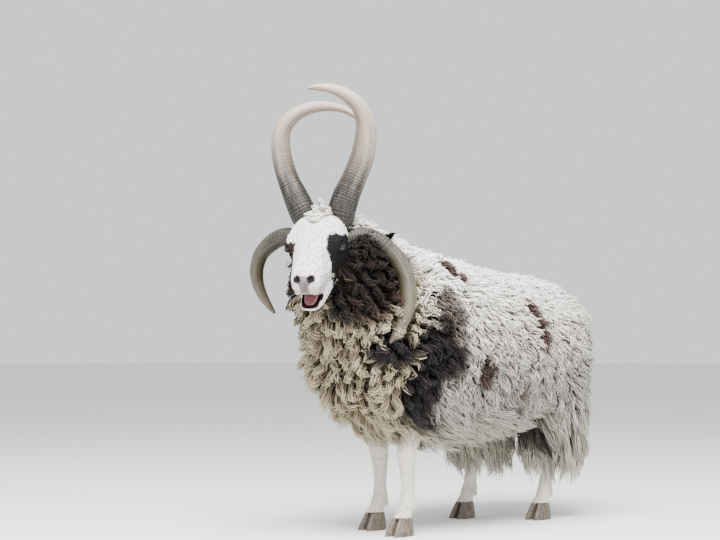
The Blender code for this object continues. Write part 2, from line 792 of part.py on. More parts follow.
def build():
    clear_scene()
    ram = new_collection("jacob_ram")
    rng = random.Random(SEED)
    finishes = {name: finish(name) for name in COLOURS}
    torso, neck, breeches = torso_and_neck(rng, ram)
    tail_node = tail(rng, ram)
    skull = head(ram)
    horns = []
    for side, upper, lower_end in (
        ("left", UPPER_LEFT_HORN, LOWER_LEFT_END),
        ("right", UPPER_RIGHT_HORN, LOWER_RIGHT_END),
    ):
        horns.append(horn("horn_upper_" + side, upper, side, ram))
        horns.append(horn("horn_lower_" + side, LOWER_HORN_BASE + lower_end, side, ram))
    ears = [ear(side, ram) for side in ("left", "right")]
    eyes = [eye(side, ram) for side in ("left", "right")]
    lick = tongue(ram)
    inside_head = [*horns, *ears, *eyes, lick]
    combine(skull, [grown(made, GAP * 1.7, ram) for made in inside_head], "DIFFERENCE")
    skull_room = [grown(made, GAP * 1.4, ram) for made in (skull, *horns)]
    skull_room += [grown(made, GAP * 3, ram, hull=True) for made in ears]
    combine(neck, skull_room, "DIFFERENCE")
    legs, hooves = [], []
    for side in ("left", "right"):
        for place, stations, joint, feet in (
            ("front", FRONT_LEG, ELBOW, FRONT_FEET),
            ("hind", HIND_LEG, STIFLE, HIND_FEET),
        ):
            name = f"{place}_{side}"
            foot = feet[side]
            legs.append(leg("leg_" + name, stations, side, joint, foot, ram))
            hooves.append(hoof("hoof_" + name, foot, ram))
    for trunk in (torso, *breeches):
        room = [grown(made, GAP * 1.4, ram) for made in (*legs, horns[1], horns[3])]
        room.append(grown(tail_node, GAP * 1.4, ram, hull=True))
        combine(trunk, room, "DIFFERENCE")
    for made, colour in (
        *((m, "wool") for m in (torso, neck, *breeches, tail_node)),
        (skull, "face"),
        *((m, "horn") for m in horns),
        *((m, "dark") for m in ears),
        *((m, "eye") for m in eyes),
        (lick, "tongue"),
        *((m, "leg") for m in legs),
        *((m, "hoof") for m in hooves),
    ):
        made.data.materials.clear()
        made.data.materials.append(finishes[colour])
    root = bpy.data.objects.new("stance", None)
    root.location = ROOT_PLACE
    ram.objects.link(root)
    for made in ram.objects:
        if made is not root:
            made.parent = root


build()
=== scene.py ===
import math

import bmesh
import bpy
import numpy as np
from mathutils import Matrix, Vector, noise
from mathutils.bvhtree import BVHTree
from mathutils.kdtree import KDTree


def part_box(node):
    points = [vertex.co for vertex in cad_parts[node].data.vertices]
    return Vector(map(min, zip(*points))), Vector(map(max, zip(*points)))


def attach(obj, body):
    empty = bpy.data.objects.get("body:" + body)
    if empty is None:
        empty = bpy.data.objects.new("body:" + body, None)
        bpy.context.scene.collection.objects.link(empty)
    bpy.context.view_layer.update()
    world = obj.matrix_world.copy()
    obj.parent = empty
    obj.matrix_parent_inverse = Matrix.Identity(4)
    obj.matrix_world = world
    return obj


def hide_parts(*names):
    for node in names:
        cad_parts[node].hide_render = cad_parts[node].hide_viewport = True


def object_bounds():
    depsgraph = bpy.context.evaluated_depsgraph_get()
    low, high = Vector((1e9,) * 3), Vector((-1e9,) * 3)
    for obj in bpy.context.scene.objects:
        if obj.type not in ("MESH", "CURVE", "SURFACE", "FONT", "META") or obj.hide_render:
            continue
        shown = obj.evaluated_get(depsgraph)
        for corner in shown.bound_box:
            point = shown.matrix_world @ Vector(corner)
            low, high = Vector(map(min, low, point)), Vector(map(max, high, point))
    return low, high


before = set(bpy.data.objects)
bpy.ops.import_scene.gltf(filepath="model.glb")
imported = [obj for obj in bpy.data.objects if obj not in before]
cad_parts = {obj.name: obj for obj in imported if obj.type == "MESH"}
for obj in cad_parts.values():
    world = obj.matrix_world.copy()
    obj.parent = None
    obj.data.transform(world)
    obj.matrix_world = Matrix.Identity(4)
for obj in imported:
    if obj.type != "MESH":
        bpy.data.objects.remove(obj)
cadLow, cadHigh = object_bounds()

# A four-horned piebald ram. Metres; it faces -Y, its left side is +X and it stands on z = 0.
# Shapes are given in the ram's own frame, whose origin lies under the middle of the trunk;
# rootShift is where that origin stands, read from a front hoof.
hoofPlace = {"x": 0.075, "frontEdge": -0.2885}
hoofLow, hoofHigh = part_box("hoof_front_left")
rootShift = Vector(((hoofLow.x + hoofHigh.x) / 2 - hoofPlace["x"], hoofLow.y - hoofPlace["frontEdge"], 0))
rootRow = np.array(rootShift)
bothSides = ("left", "right")
acrossX, alongY, upZ = Vector((1, 0, 0)), Vector((0, 1, 0)), Vector((0, 0, 1))
rng = np.random.default_rng(11)


# Small tools

def stage(message):
    print("ram:", message, flush=True)


def smoothRows(rows, count):
    # Catmull-Rom through rows of numbers, count rows out
    table = np.array(rows, float)
    last = len(table) - 1
    found = []
    for place in np.linspace(0, last, count):
        i = min(int(place), last - 1)
        t = place - i
        p0, p1, p2, p3 = (table[min(max(i + k, 0), last)] for k in (-1, 0, 1, 2))
        found.append((p0 * (-t + 2 * t**2 - t**3) + p1 * (2 - 5 * t**2 + 3 * t**3)
                      + p2 * (t + 4 * t**2 - 3 * t**3) + p3 * (t**3 - t**2)) / 2)
    return found


def bent(value, exponent):
    return math.copysign(abs(value) ** exponent, value)


def flip(point, side):
    return Vector(point) if side == "left" else Vector((-point[0], point[1], point[2]))


def turns(count):
    # the angles of count points round a ring
    return [math.tau * k / count for k in range(count)]


def wayAt(line, i):
    # which way a line of points runs at its point i
    return (line[min(i + 1, len(line) - 1)] - line[max(i - 1, 0)]).normalized()


def squared(vector, ahead):
    # the part of a vector that is square to the way ahead
    return (vector - ahead * vector.dot(ahead)).normalized()


def smoothstep(low, high, value):
    t = np.clip((value - low) / (high - low), 0, 1)
    return t * t * (3 - 2 * t)


def unit(rows):
    return rows / np.maximum(np.linalg.norm(rows, axis=-1, keepdims=True), 1e-9)


def moved(found, matrix):
    return found @ np.array(matrix.to_3x3()).T + np.array(matrix.translation)


def addLoft(bm, rings, closed=False):
    # circles moved onto the rings, bridged and capped
    loops = []
    for ring in rings:
        made = bmesh.ops.create_circle(bm, segments=len(ring), radius=1)
        for vert, point in zip(made["verts"], ring):
            vert.co = point
        loops.append(list({edge for vert in made["verts"] for edge in vert.link_edges}))
    pairs = list(zip(loops, loops[1:]))
    if closed:
        pairs.append((loops[-1], loops[0]))
    for first, second in pairs:
        bmesh.ops.bridge_loops(bm, edges=first + second)
    if not closed:
        bmesh.ops.contextual_create(bm, geom=loops[0])
        bmesh.ops.contextual_create(bm, geom=loops[-1])


def addBall(bm, centre, sizes, turn=None, segments=24, rings=16):
    place = Matrix.Translation(centre) @ (turn or Matrix.Identity(4)) @ Matrix.Diagonal((*sizes, 1))
    bmesh.ops.create_uvsphere(bm, u_segments=segments, v_segments=rings, radius=1, matrix=place)


def addTube(bm, line, radii, count=16):
    # rings square to a line of points
    rings = []
    frameUp = upZ
    for i, (point, radius) in enumerate(zip(line, radii)):
        ahead = wayAt(line, i)
        frameUp = squared(frameUp, ahead)
        across = ahead.cross(frameUp)
        rings.append([point + across * (math.cos(turn) * radius) + frameUp * (math.sin(turn) * radius)
                      for turn in turns(count)])
    addLoft(bm, rings)


def ovalRing(centre, across, up, halfWidth, halfHeight, count, fullness=2.0):
    return [centre + across * (bent(math.sin(turn), 2 / fullness) * halfWidth)
            + up * (bent(math.cos(turn), 2 / fullness) * halfHeight) for turn in turns(count)]


def addLimb(bm, rows, off, count=28):
    # rows of x, y, z, half width and half height, off thicker
    line = [Vector(row[:3]) for row in rows]
    rings = []
    for i, row in enumerate(rows):
        ahead = wayAt(line, i)
        across = squared(acrossX, ahead)
        rings.append(ovalRing(line[i], across, across.cross(ahead), row[3] + off, row[4] + off, count))
    addLoft(bm, rings)


def linked(name, data):
    made = bpy.data.objects.new(name, data)
    bpy.context.scene.collection.objects.link(made)
    return made


def meshObject(name, bm, atRoot=True):
    bmesh.ops.recalc_face_normals(bm, faces=bm.faces)
    if bm.calc_volume(signed=True) < 0:
        bmesh.ops.reverse_faces(bm, faces=bm.faces)
    if atRoot:
        bmesh.ops.translate(bm, verts=bm.verts, vec=rootShift)
    mesh = bpy.data.meshes.new(name)
    bm.to_mesh(mesh)
    bm.free()
    return linked(name, mesh)


def copied(piece, name):
    return linked(name, piece.data.copy())


def applyModifiers(piece):
    graph = bpy.context.evaluated_depsgraph_get()
    mesh = bpy.data.meshes.new_from_object(piece.evaluated_get(graph))
    piece.modifiers.clear()
    piece.data = mesh
    mesh.name = piece.name


def voxelSkin(piece, size, smoothing):
    remesh = piece.modifiers.new("remesh", "REMESH")
    remesh.mode = "VOXEL"
    remesh.voxel_size = size
    smooth = piece.modifiers.new("smooth", "SMOOTH")
    smooth.factor = 0.5
    smooth.iterations = smoothing
    applyModifiers(piece)
    return piece


def combine(piece, others, operation):
    for other in others:
        cut = piece.modifiers.new("combine", "BOOLEAN")
        cut.operation = operation
        cut.solver = "MANIFOLD"
        cut.object = other
        applyModifiers(piece)
        bpy.data.objects.remove(other)


def readRows(items, key, width, kind=float):
    found = np.empty(len(items) * width, kind)
    items.foreach_get(key, found)
    return found.reshape(-1, width)


def points(mesh):
    return readRows(mesh.vertices, "co", 3)


def setPoints(mesh, found):
    mesh.vertices.foreach_set("co", found.ravel())
    mesh.update()


def colourLayer(mesh, name, colours):
    layer = mesh.color_attributes.new(name, "FLOAT_COLOR", "POINT")
    rgba = np.ones((len(colours), 4), np.float32)
    rgba[:, :3] = colours
    layer.data.foreach_set("color", rgba.ravel())


def vectorLayer(mesh, name, rows):
    layer = mesh.attributes.new(name, "FLOAT_VECTOR", "POINT")
    layer.data.foreach_set("vector", np.array(rows, np.float32).ravel())


def dress(piece, material, slot, *nodes):
    # smooth shading, its finish, the body it rides on and the nodes it stands for
    piece.data.polygons.foreach_set("use_smooth", np.ones(len(piece.data.polygons), bool))
    piece.data.materials.clear()
    piece.data.materials.append(material)
    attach(piece, "root")
    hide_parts(*nodes)


# Trunk, neck, thighs and tail, without their wool

trunkSizes = {
    "withers": 0.70, "length": 0.84, "breastY": -0.37,
    "sections": (    # share of the length; top, bottom and half width as shares of the withers
        (0.00, 0.830, 0.600, 0.100), (0.05, 0.900, 0.510, 0.180), (0.18, 1.000, 0.435, 0.240),
        (0.36, 0.975, 0.415, 0.278), (0.55, 0.935, 0.420, 0.292), (0.72, 0.915, 0.445, 0.280),
        (0.86, 0.905, 0.500, 0.250), (0.95, 0.875, 0.585, 0.190), (1.00, 0.830, 0.660, 0.110),
    ),
    "neck": (
        (0.000, -0.130, 0.495, 0.125, 0.170), (0.000, -0.240, 0.560, 0.122, 0.165),
        (0.000, -0.330, 0.625, 0.106, 0.142), (0.004, -0.395, 0.685, 0.086, 0.108),
        (0.010, -0.440, 0.728, 0.070, 0.084),
    ),
    "thigh": (
        (0.090, 0.300, 0.520, 0.085, 0.125), (0.105, 0.325, 0.420, 0.080, 0.120),
        (0.105, 0.348, 0.330, 0.062, 0.092), (0.100, 0.368, 0.255, 0.044, 0.066),
        (0.096, 0.382, 0.200, 0.030, 0.044),
    ),
    "tail": (    # x, y, z and radius
        (0.0, 0.430, 0.560, 0.024), (0.0, 0.480, 0.548, 0.024), (0.0, 0.520, 0.510, 0.024),
        (0.0, 0.538, 0.445, 0.022), (0.0, 0.540, 0.375, 0.019), (0.0, 0.535, 0.315, 0.013),
    ),
    "rightStep": -0.11, "underwool": 0.012, "thighWool": 0.7, "fullness": 2.2,
    "trunkRows": 30, "limbRows": 14, "voxel": 0.010, "smoothing": 5,
}


def trunkForm():
    sizes = trunkSizes
    off, withers, count = sizes["underwool"], sizes["withers"], sizes["limbRows"]
    bm = bmesh.new()
    rings = []
    for share, top, bottom, halfWidth in smoothRows(sizes["sections"], sizes["trunkRows"]):
        y = sizes["breastY"] + share * sizes["length"] + off * (2 * share - 1)
        centre = Vector((0, y, (top + bottom) / 2 * withers))
        halfHeight = (top - bottom) / 2 * withers + off
        rings.append(ovalRing(centre, acrossX, upZ, halfWidth * withers + off, halfHeight, 40,
                              sizes["fullness"]))
    addLoft(bm, rings)
    addLimb(bm, smoothRows(sizes["neck"], count), off)
    for side in bothSides:
        rows = []
        for i, row in enumerate(smoothRows(sizes["thigh"], count)):
            centre = flip(row[:3], side)
            if side == "right":    # the far hind leg stands a step ahead
                centre.y += sizes["rightStep"] * i / count
            rows.append((*centre, row[3], row[4]))
        addLimb(bm, rows, off * sizes["thighWool"])
    tail = smoothRows(sizes["tail"], count)
    addTube(bm, [Vector(row[:3]) for row in tail], [row[3] for row in tail])
    return voxelSkin(meshObject("trunk", bm), sizes["voxel"], sizes["smoothing"])


# Legs

legSizes = {
    "feet": {
        "front_left": (0.075, -0.225), "front_right": (-0.075, -0.160),
        "hind_left": (0.090, 0.345), "hind_right": (-0.090, 0.235),
    },
    "joint": {"front": (0.095, -0.180), "hind": (0.100, 0.290)},
    # height, share of the way from joint to foot, how far back, half width and half length
    "front": (
        (0.400, 0.00, 0.000, 0.042, 0.060), (0.340, 0.00, 0.000, 0.036, 0.050),
        (0.280, 0.45, 0.004, 0.0285, 0.036), (0.235, 0.85, 0.004, 0.0225, 0.026),
        (0.205, 1.00, 0.000, 0.0235, 0.025), (0.178, 1.00, 0.003, 0.018, 0.020),
        (0.135, 1.00, 0.005, 0.0145, 0.0165), (0.098, 1.00, 0.006, 0.016, 0.0185),
        (0.078, 1.00, 0.004, 0.0205, 0.0215), (0.060, 1.00, -0.006, 0.0185, 0.020),
        (0.0443, 1.00, -0.016, 0.0215, 0.025),
    ),
    "hind": (
        (0.430, 0.00, 0.000, 0.045, 0.075), (0.370, 0.10, 0.005, 0.040, 0.062),
        (0.300, 0.50, 0.012, 0.030, 0.043), (0.250, 0.85, 0.030, 0.022, 0.032),
        (0.222, 1.00, 0.036, 0.0215, 0.031), (0.192, 1.00, 0.030, 0.0185, 0.0235),
        (0.140, 1.00, 0.018, 0.015, 0.0175), (0.098, 1.00, 0.010, 0.0165, 0.019),
        (0.078, 1.00, 0.006, 0.0205, 0.022), (0.060, 1.00, -0.006, 0.0185, 0.020),
        (0.0443, 1.00, -0.016, 0.0215, 0.025),
    ),
    "dewClaw": {"x": 0.010, "back": 0.022, "height": 0.066, "size": (0.0055, 0.0065, 0.0075)},
    "tendon": {"front": 0.006, "hind": 0.014, "back": 0.019, "low": 0.085, "rise": 0.026, "radius": 0.0062},
    "rows": 44, "fullness": 2.1, "voxel": 0.0042, "smoothing": 3,
}


def legsForm():
    sizes, claw, tendon = legSizes, legSizes["dewClaw"], legSizes["tendon"]
    bm = bmesh.new()
    for name, foot in sizes["feet"].items():
        pair, side = name.split("_")
        joint = flip((*sizes["joint"][pair], 0), side)
        foot = Vector((*foot, 0))
        rings = []
        for height, way, back, halfWidth, halfLength in smoothRows(sizes[pair], sizes["rows"]):
            centre = joint.lerp(foot, way) + Vector((0, back, height))
            rings.append(ovalRing(centre, acrossX, alongY, halfWidth, halfLength, 24, sizes["fullness"]))
        addLoft(bm, rings)
        for x in (-claw["x"], claw["x"]):
            addBall(bm, foot + Vector((x, claw["back"], claw["height"])), claw["size"], None, 12, 8)
        line = [Vector((foot.x, foot.y + tendon["back"] + tendon[pair] * k / 4,
                        tendon["low"] + tendon["rise"] * k)) for k in range(5)]
        addTube(bm, line, [tendon["radius"]] * 5, 10)
    return voxelSkin(meshObject("legs", bm), sizes["voxel"], sizes["smoothing"])


# Head, in its own frame: forward is -Y along the nose, up is +Z

headSizes = {
    "poll": (0.015, -0.470, 0.785), "turn": 30, "drop": 34.5, "hornTurn": 28, "hornDrop": 6.5,
    # distance from the poll, top, bottom, half width and the height where it is widest
    "skull": (
        (0.000, 0.012, -0.050, 0.039, -0.020), (0.018, 0.034, -0.078, 0.059, -0.020),
        (0.050, 0.046, -0.100, 0.070, -0.018), (0.085, 0.046, -0.100, 0.071, -0.012),
        (0.108, 0.041, -0.094, 0.065, -0.012), (0.132, 0.034, -0.084, 0.055, -0.018),
        (0.160, 0.026, -0.079, 0.046, -0.026), (0.180, 0.020, -0.075, 0.042, -0.028),
        (0.200, 0.014, -0.068, 0.040, -0.028), (0.224, 0.005, -0.060, 0.0375, -0.028),
        (0.243, -0.004, -0.055, 0.0325, -0.029), (0.254, -0.015, -0.047, 0.0205, -0.031),
    ),
    "jaw": (
        (0.050, -0.045, -0.105, 0.048, -0.070), (0.085, -0.050, -0.118, 0.048, -0.076),
        (0.120, -0.050, -0.110, 0.044, -0.075), (0.155, -0.052, -0.102, 0.038, -0.076),
        (0.178, -0.052, -0.096, 0.0345, -0.076),
        (0.194, -0.066, -0.091, 0.0315, -0.077), (0.220, -0.061, -0.084, 0.028, -0.071),
        (0.238, -0.058, -0.077, 0.0215, -0.067), (0.245, -0.060, -0.071, 0.012, -0.065),
    ),
    "jawJoint": (0.0, -0.055, -0.045), "jawOpen": 11, "roundness": 0.92,
    "lipStart": {"skull": 7, "jaw": 5}, "lipRadius": {"skull": 0.0044, "jaw": 0.0038},
    "eye": (0.0620, -0.107, -0.008), "eyeRadius": 0.0135, "eyeLook": (0.86, -0.42, 0.20),
    "brow": {"off": (-0.012, 0.004, 0.004), "size": (0.018, 0.029, 0.022)},
    "nostril": (0.0178, -0.2475, -0.0130), "nostrilTurn": -28,
    "voxel": 0.0020, "firstVoxel": 1.4, "cutVoxel": 0.0012, "smoothing": 3,
}


def headTurn(turn, drop):
    return (Matrix.Translation(headSizes["poll"]) @ Matrix.Rotation(math.radians(headSizes[turn]), 4, "Z")
            @ Matrix.Rotation(math.radians(headSizes[drop]), 4, "X"))


headFrame = headTurn("turn", "drop")
hornFrame = headTurn("hornTurn", "hornDrop")
jawPlace = Matrix.Translation(headSizes["jawJoint"])
jawHinge = jawPlace @ Matrix.Rotation(math.radians(headSizes["jawOpen"]), 4, "X") @ jawPlace.inverted()
headBack, jawBack = headFrame.inverted(), jawHinge.inverted()


def inHead(point, hinge=None):
    return headFrame @ (hinge @ point if hinge else point)


def eyeFrame(side):
    look = flip(headSizes["eyeLook"], side).normalized()
    across = upZ.cross(look).normalized()
    turn = Matrix((across, look.cross(across), look)).transposed().to_4x4()
    return headFrame @ Matrix.Translation(flip(headSizes["eye"], side)) @ turn


def headRing(row, count=40, hinge=None):
    distance, top, bottom, halfWidth, widest = row
    ring = []
    for turn in turns(count):
        reach = top - widest if math.cos(turn) > 0 else widest - bottom
        x, z = (bent(value, headSizes["roundness"]) for value in (math.sin(turn), math.cos(turn)))
        ring.append(inHead(Vector((x * halfWidth, -distance, widest + z * reach)), hinge))
    return ring


def addLip(bm, part, hinge=None):
    # round the skull's lower edge or the jaw's upper one
    sizes = headSizes
    half = []
    for distance, top, bottom, halfWidth, widest in smoothRows(sizes[part][sizes["lipStart"][part]:], 12):
        edge = bottom if part == "skull" else top
        half.append(Vector((halfWidth * 0.74, -distance, edge * 0.92 + widest * 0.08)))
    line = [Vector((-p.x, p.y, p.z)) for p in half] + half[::-1]
    addTube(bm, [inHead(point, hinge) for point in line], [sizes["lipRadius"][part]] * len(line), 10)


# pushes on the head's surface: place, reach along x, y and z, and how far, along x, y and z
headPushes = (
    ((0.061, -0.103, 0.012), (0.022, 0.030, 0.016), (0.004, 0.0, 0.0025)),     # brow ridge
    ((0.063, -0.105, -0.028), (0.020, 0.026, 0.012), (0.0025, 0.0, -0.001)),   # below the eye
    ((0.050, -0.147, -0.014), (0.018, 0.020, 0.016), (-0.0030, 0.0, 0.0)),     # hollow ahead of the eye
    ((0.062, -0.062, -0.060), (0.026, 0.042, 0.036), (0.0050, 0.0, -0.001)),   # cheek muscle
    ((0.045, -0.175, -0.030), (0.018, 0.030, 0.014), (0.0022, 0.0, 0.0)),      # ridge to the muzzle
    ((0.020, -0.150, 0.030), (0.022, 0.050, 0.014), (-0.001, 0.0, -0.0012)),   # beside the nose bone
    ((0.025, -0.236, -0.042), (0.014, 0.018, 0.016), (0.0030, -0.0015, 0.0)),  # upper lip pad
    ((0.019, -0.246, -0.004), (0.012, 0.012, 0.010), (0.0028, -0.0015, 0.0022)),  # nostril's wing
)


def nostrilAndSocket(side):
    # a curved slit of five balls, and the eye's socket
    bm = bmesh.new()
    lean = Matrix.Rotation((1 if side == "left" else -1) * math.radians(headSizes["nostrilTurn"]), 4, "Z")
    for k in range(5):
        t = k / 4
        off = flip((0.005 * t - 0.006, 0.004 * t * t, 0.013 * t - 0.007), side)
        spot = headFrame @ (flip(headSizes["nostril"], side) + off)
        addBall(bm, spot, (0.0020 + 0.0016 * t, 0.0085, 0.0036), (headFrame @ lean).to_3x3().to_4x4(), 12, 8)
    addBall(bm, eyeFrame(side) @ Vector((0, 0, 0.001)), (headSizes["eyeRadius"] * 1.02,) * 3)
    return voxelSkin(meshObject("cutter", bm, atRoot=False), headSizes["cutVoxel"], 1)


def headForm():
    sizes, brow = headSizes, headSizes["brow"]
    bm = bmesh.new()
    addLoft(bm, [headRing(row) for row in smoothRows(sizes["skull"], 40)])
    addLoft(bm, [headRing(row, 32, jawHinge) for row in smoothRows(sizes["jaw"], 26)])
    addLip(bm, "skull")
    addLip(bm, "jaw", jawHinge)
    for side in bothSides:
        place = headFrame @ (flip(sizes["eye"], side) + flip(brow["off"], side))
        addBall(bm, place, brow["size"], headFrame.to_3x3().to_4x4())
    made = voxelSkin(meshObject("headSkin", bm, atRoot=False), sizes["voxel"] * sizes["firstVoxel"], 2)
    combine(made, [nostrilAndSocket(side) for side in bothSides], "DIFFERENCE")
    voxelSkin(made, sizes["voxel"], sizes["smoothing"])
    local = moved(points(made.data), headBack)
    for centre, reach, push in headPushes:
        for sign in (1, -1):
            middle = np.array((centre[0] * sign, centre[1], centre[2]))
            away = np.sum(((local - middle) / np.array(reach)) ** 2, axis=1)
            weight = np.clip(1 - away, 0, 1) ** 2
            local += weight[:, None] * np.array((push[0] * sign, push[1], push[2]))
    x, y, z = local.T
    groove = np.exp(-(x / 0.0016) ** 2) * smoothstep(-0.236, -0.246, y)    # from the nose down to the lip
    groove *= smoothstep(-0.050, -0.040, z) * smoothstep(-0.012, -0.022, z)
    local[:, 1] += groove * 0.0022
    setPoints(made.data, moved(local, headFrame) + rootRow)
    return made


# Lids: a closed ring of skin round each eye

lidSizes = {
    "halfWidth": 0.0122, "upper": 0.0070, "lower": 0.0062, "steps": 40,
    # growth from the opening's edge, how far past the eye's radius, and sink
    "rows": ((1.00, 0.0002, 0), (1.04, 0.0015, 0), (1.20, 0.0026, 0), (1.42, 0.0024, -0.0008),
             (1.75, 0.0004, -0.0060), (1.45, -0.0035, -0.0060)),
}


def addLids(bm):
    sizes = lidSizes
    for side in bothSides:
        place = eyeFrame(side)
        rings = []
        for grow, past, sink in sizes["rows"]:
            away = headSizes["eyeRadius"] + past
            ring = []
            for turn in turns(sizes["steps"]):
                x = bent(math.cos(turn), 0.92) * sizes["halfWidth"] * grow
                high = sizes["upper"] if math.sin(turn) > 0 else sizes["lower"]
                y = bent(math.sin(turn), 1.12) * (high * grow + 0.0015 * (grow - 1))
                z = math.sqrt(max(away**2 - x * x - y * y, 0.00001)) + sink
                ring.append(place @ Vector((x, y, z)))
            rings.append(ring)
        addLoft(bm, rings, closed=True)


# Ears: thin leaf-shaped cups

earSizes = {
    "line": ((0.040, 0.048, -0.080), (0.100, 0.104, -0.084), (0.150, 0.132, -0.036)),
    "opening": (0, -0.75, -0.65), "spread": (100, 35), "halfWidth": 0.026, "wall": 0.0032,
    "steps": 22, "arc": 12,
}


def addEars(bm):
    sizes = earSizes
    for side in bothSides:
        base, middle, tip = (flip(p, side) for p in sizes["line"])
        rings = []
        for i in range(sizes["steps"] + 1):
            t = i / sizes["steps"]
            centre = base * (1 - t) ** 2 + middle * 2 * t * (1 - t) + tip * t**2
            ahead = ((middle - base) * (1 - t) + (tip - middle) * t).normalized()
            opening = squared(Vector(sizes["opening"]), ahead)
            across = ahead.cross(opening)
            leaf = math.sin(math.pi * min(0.22 + 0.78 * t, 0.985)) ** 0.75
            spread = math.radians(sizes["spread"][0] - sizes["spread"][1] * t)
            radius = sizes["halfWidth"] * leaf / math.sin(min(spread, math.pi / 2))
            outer, inner = [], []
            for k in range(sizes["arc"] + 1):
                turn = spread * (2 * k / sizes["arc"] - 1)
                reach = across * math.sin(turn) - opening * (math.cos(turn) - math.cos(spread) * 0.5)
                wall = min(sizes["wall"], radius * 0.45) * (0.45 + 0.55 * math.cos(turn / 2))
                outer.append(hornFrame @ (centre + reach * radius))
                inner.append(hornFrame @ (centre + reach * (radius - wall)))
            rings.append(outer + inner[::-1])
        addLoft(bm, rings)


# Tongue: a soft slab on the lower jaw, with a groove along its middle

tongueSizes = {
    "rows": ((0.160, 0.0120, 0.0045), (0.172, 0.0150, 0.0055), (0.188, 0.0165, 0.0060),
             (0.205, 0.0165, 0.0058), (0.226, 0.0145, 0.0050), (0.237, 0.0090, 0.0036),
             (0.240, 0.0035, 0.0018)),
    "height": -0.0585, "slope": 0.03, "tip": 0.236, "groove": 0.0014, "grooveWidth": 0.0028, "edge": 0.0012,
}


def addTongue(bm):
    sizes = tongueSizes
    rings = []
    for distance, halfWidth, halfHeight in smoothRows(sizes["rows"], 26):
        ring = []
        for turn in turns(24):
            x = math.sin(turn) * halfWidth
            z = bent(math.cos(turn), 0.85) * halfHeight
            if math.cos(turn) > 0:
                z -= sizes["groove"] * math.exp(-(x / sizes["grooveWidth"]) ** 2)
            z += (sizes["height"] + sizes["slope"] * (sizes["tip"] - distance)
                  + sizes["edge"] * (x / halfWidth) ** 2)
            ring.append(headFrame @ jawHinge @ Vector((x, -distance, z)))
        rings.append(ring)
    addLoft(bm, rings)


def bareForms():
    made = {"trunk": trunkForm(), "legs": legsForm(), "head": headForm()}
    for name, add in (("lids", addLids), ("ears", addEars)):
        bm = bmesh.new()
        add(bm)
        made[name] = meshObject(name, bm)
    smooth = made["ears"].modifiers.new("smooth", "SUBSURF")
    smooth.levels = 1
    smooth.render_levels = 1
    applyModifiers(made["ears"])
    return made


# Markings, in the ram's frame and the head's. Colours as seen, 0 to 255.

def seen(*rgb):
    return np.array([((c / 255 + 0.055) / 1.055) ** 2.4 for c in rgb])


coatColours = {
    "white": seen(220, 217, 210), "back": seen(250, 250, 249), "cream": seen(172, 161, 136),
    "grey": seen(158, 157, 151), "black": seen(36, 33, 34), "brown": seen(72, 58, 54),
    "rust": seen(54, 39, 33), "leg": seen(226, 221, 212), "face": seen(222, 220, 216),
    "faceBlack": seen(18, 19, 21), "faceBrown": seen(44, 35, 32), "pad": seen(92, 88, 90),
    # the last colour here is painted shade for the inside of the mouth
    "nostril": seen(30, 26, 28), "mouth": seen(34, 19, 20),
}

# left side (1) or right (-1): middle (y, z), half sizes, lean in degrees, colour, strength
bodyPatches = (
    (1, (-0.468, 0.602), (0.056, 0.046), -20, "faceBlack", 1.0),
    (1, (-0.205, 0.572), (0.046, 0.048), -8, "brown", 0.9),
    (1, (-0.180, 0.480), (0.028, 0.080), 0, "brown", 0.8),
    (1, (-0.236, 0.470), (0.068, 0.088), 0, "black", 1.0),
    (1, (-0.252, 0.382), (0.046, 0.050), 0, "black", 1.0),
    # a thin dark strip along the foreleg's edge: partly dark wool, partly painted shade between chest and
    # foreleg
    (1, (-0.188, 0.288), (0.078, 0.010), -44, "black", 1.0),
    (1, (-0.340, 0.485), (0.046, 0.036), -20, "black", 1.0),
    (1, (-0.130, 0.656), (0.021, 0.038), 32, "brown", 1.0),
    (1, (0.112, 0.576), (0.018, 0.034), 28, "brown", 1.0),
    (1, (0.142, 0.510), (0.023, 0.036), 4, "brown", 1.0),
    (1, (-0.080, 0.428), (0.026, 0.036), -8, "brown", 1.0),
    (1, (0.070, 0.380), (0.020, 0.050), -24, "brown", 0.75),
    (1, (0.240, 0.262), (0.044, 0.060), 6, "black", 0.95),
    (-1, (-0.180, 0.500), (0.085, 0.120), -6, "black", 1.0),
    (-1, (0.170, 0.520), (0.070, 0.085), 12, "black", 1.0),
    (-1, (0.020, 0.420), (0.026, 0.022), 0, "brown", 0.8),
)
neckPatch = {"middle": (-0.402, 0.672), "half": (0.106, 0.118), "x": 0.012}


def wander(found, scale, seed):
    # slow noise between -1 and 1
    offset = Vector((seed * 7.1, seed * 3.7, seed * 5.3))
    return np.array([noise.noise(Vector(p) * scale + offset) for p in found])


def layered(base, count, layers):
    # colours laid over a base: name, and how much at each point
    colours = np.tile(coatColours[base], (count, 1))
    for name, share in layers:
        share = np.clip(share, 0, 1)[:, None]
        colours = colours * (1 - share) + coatColours[name] * share
    return colours


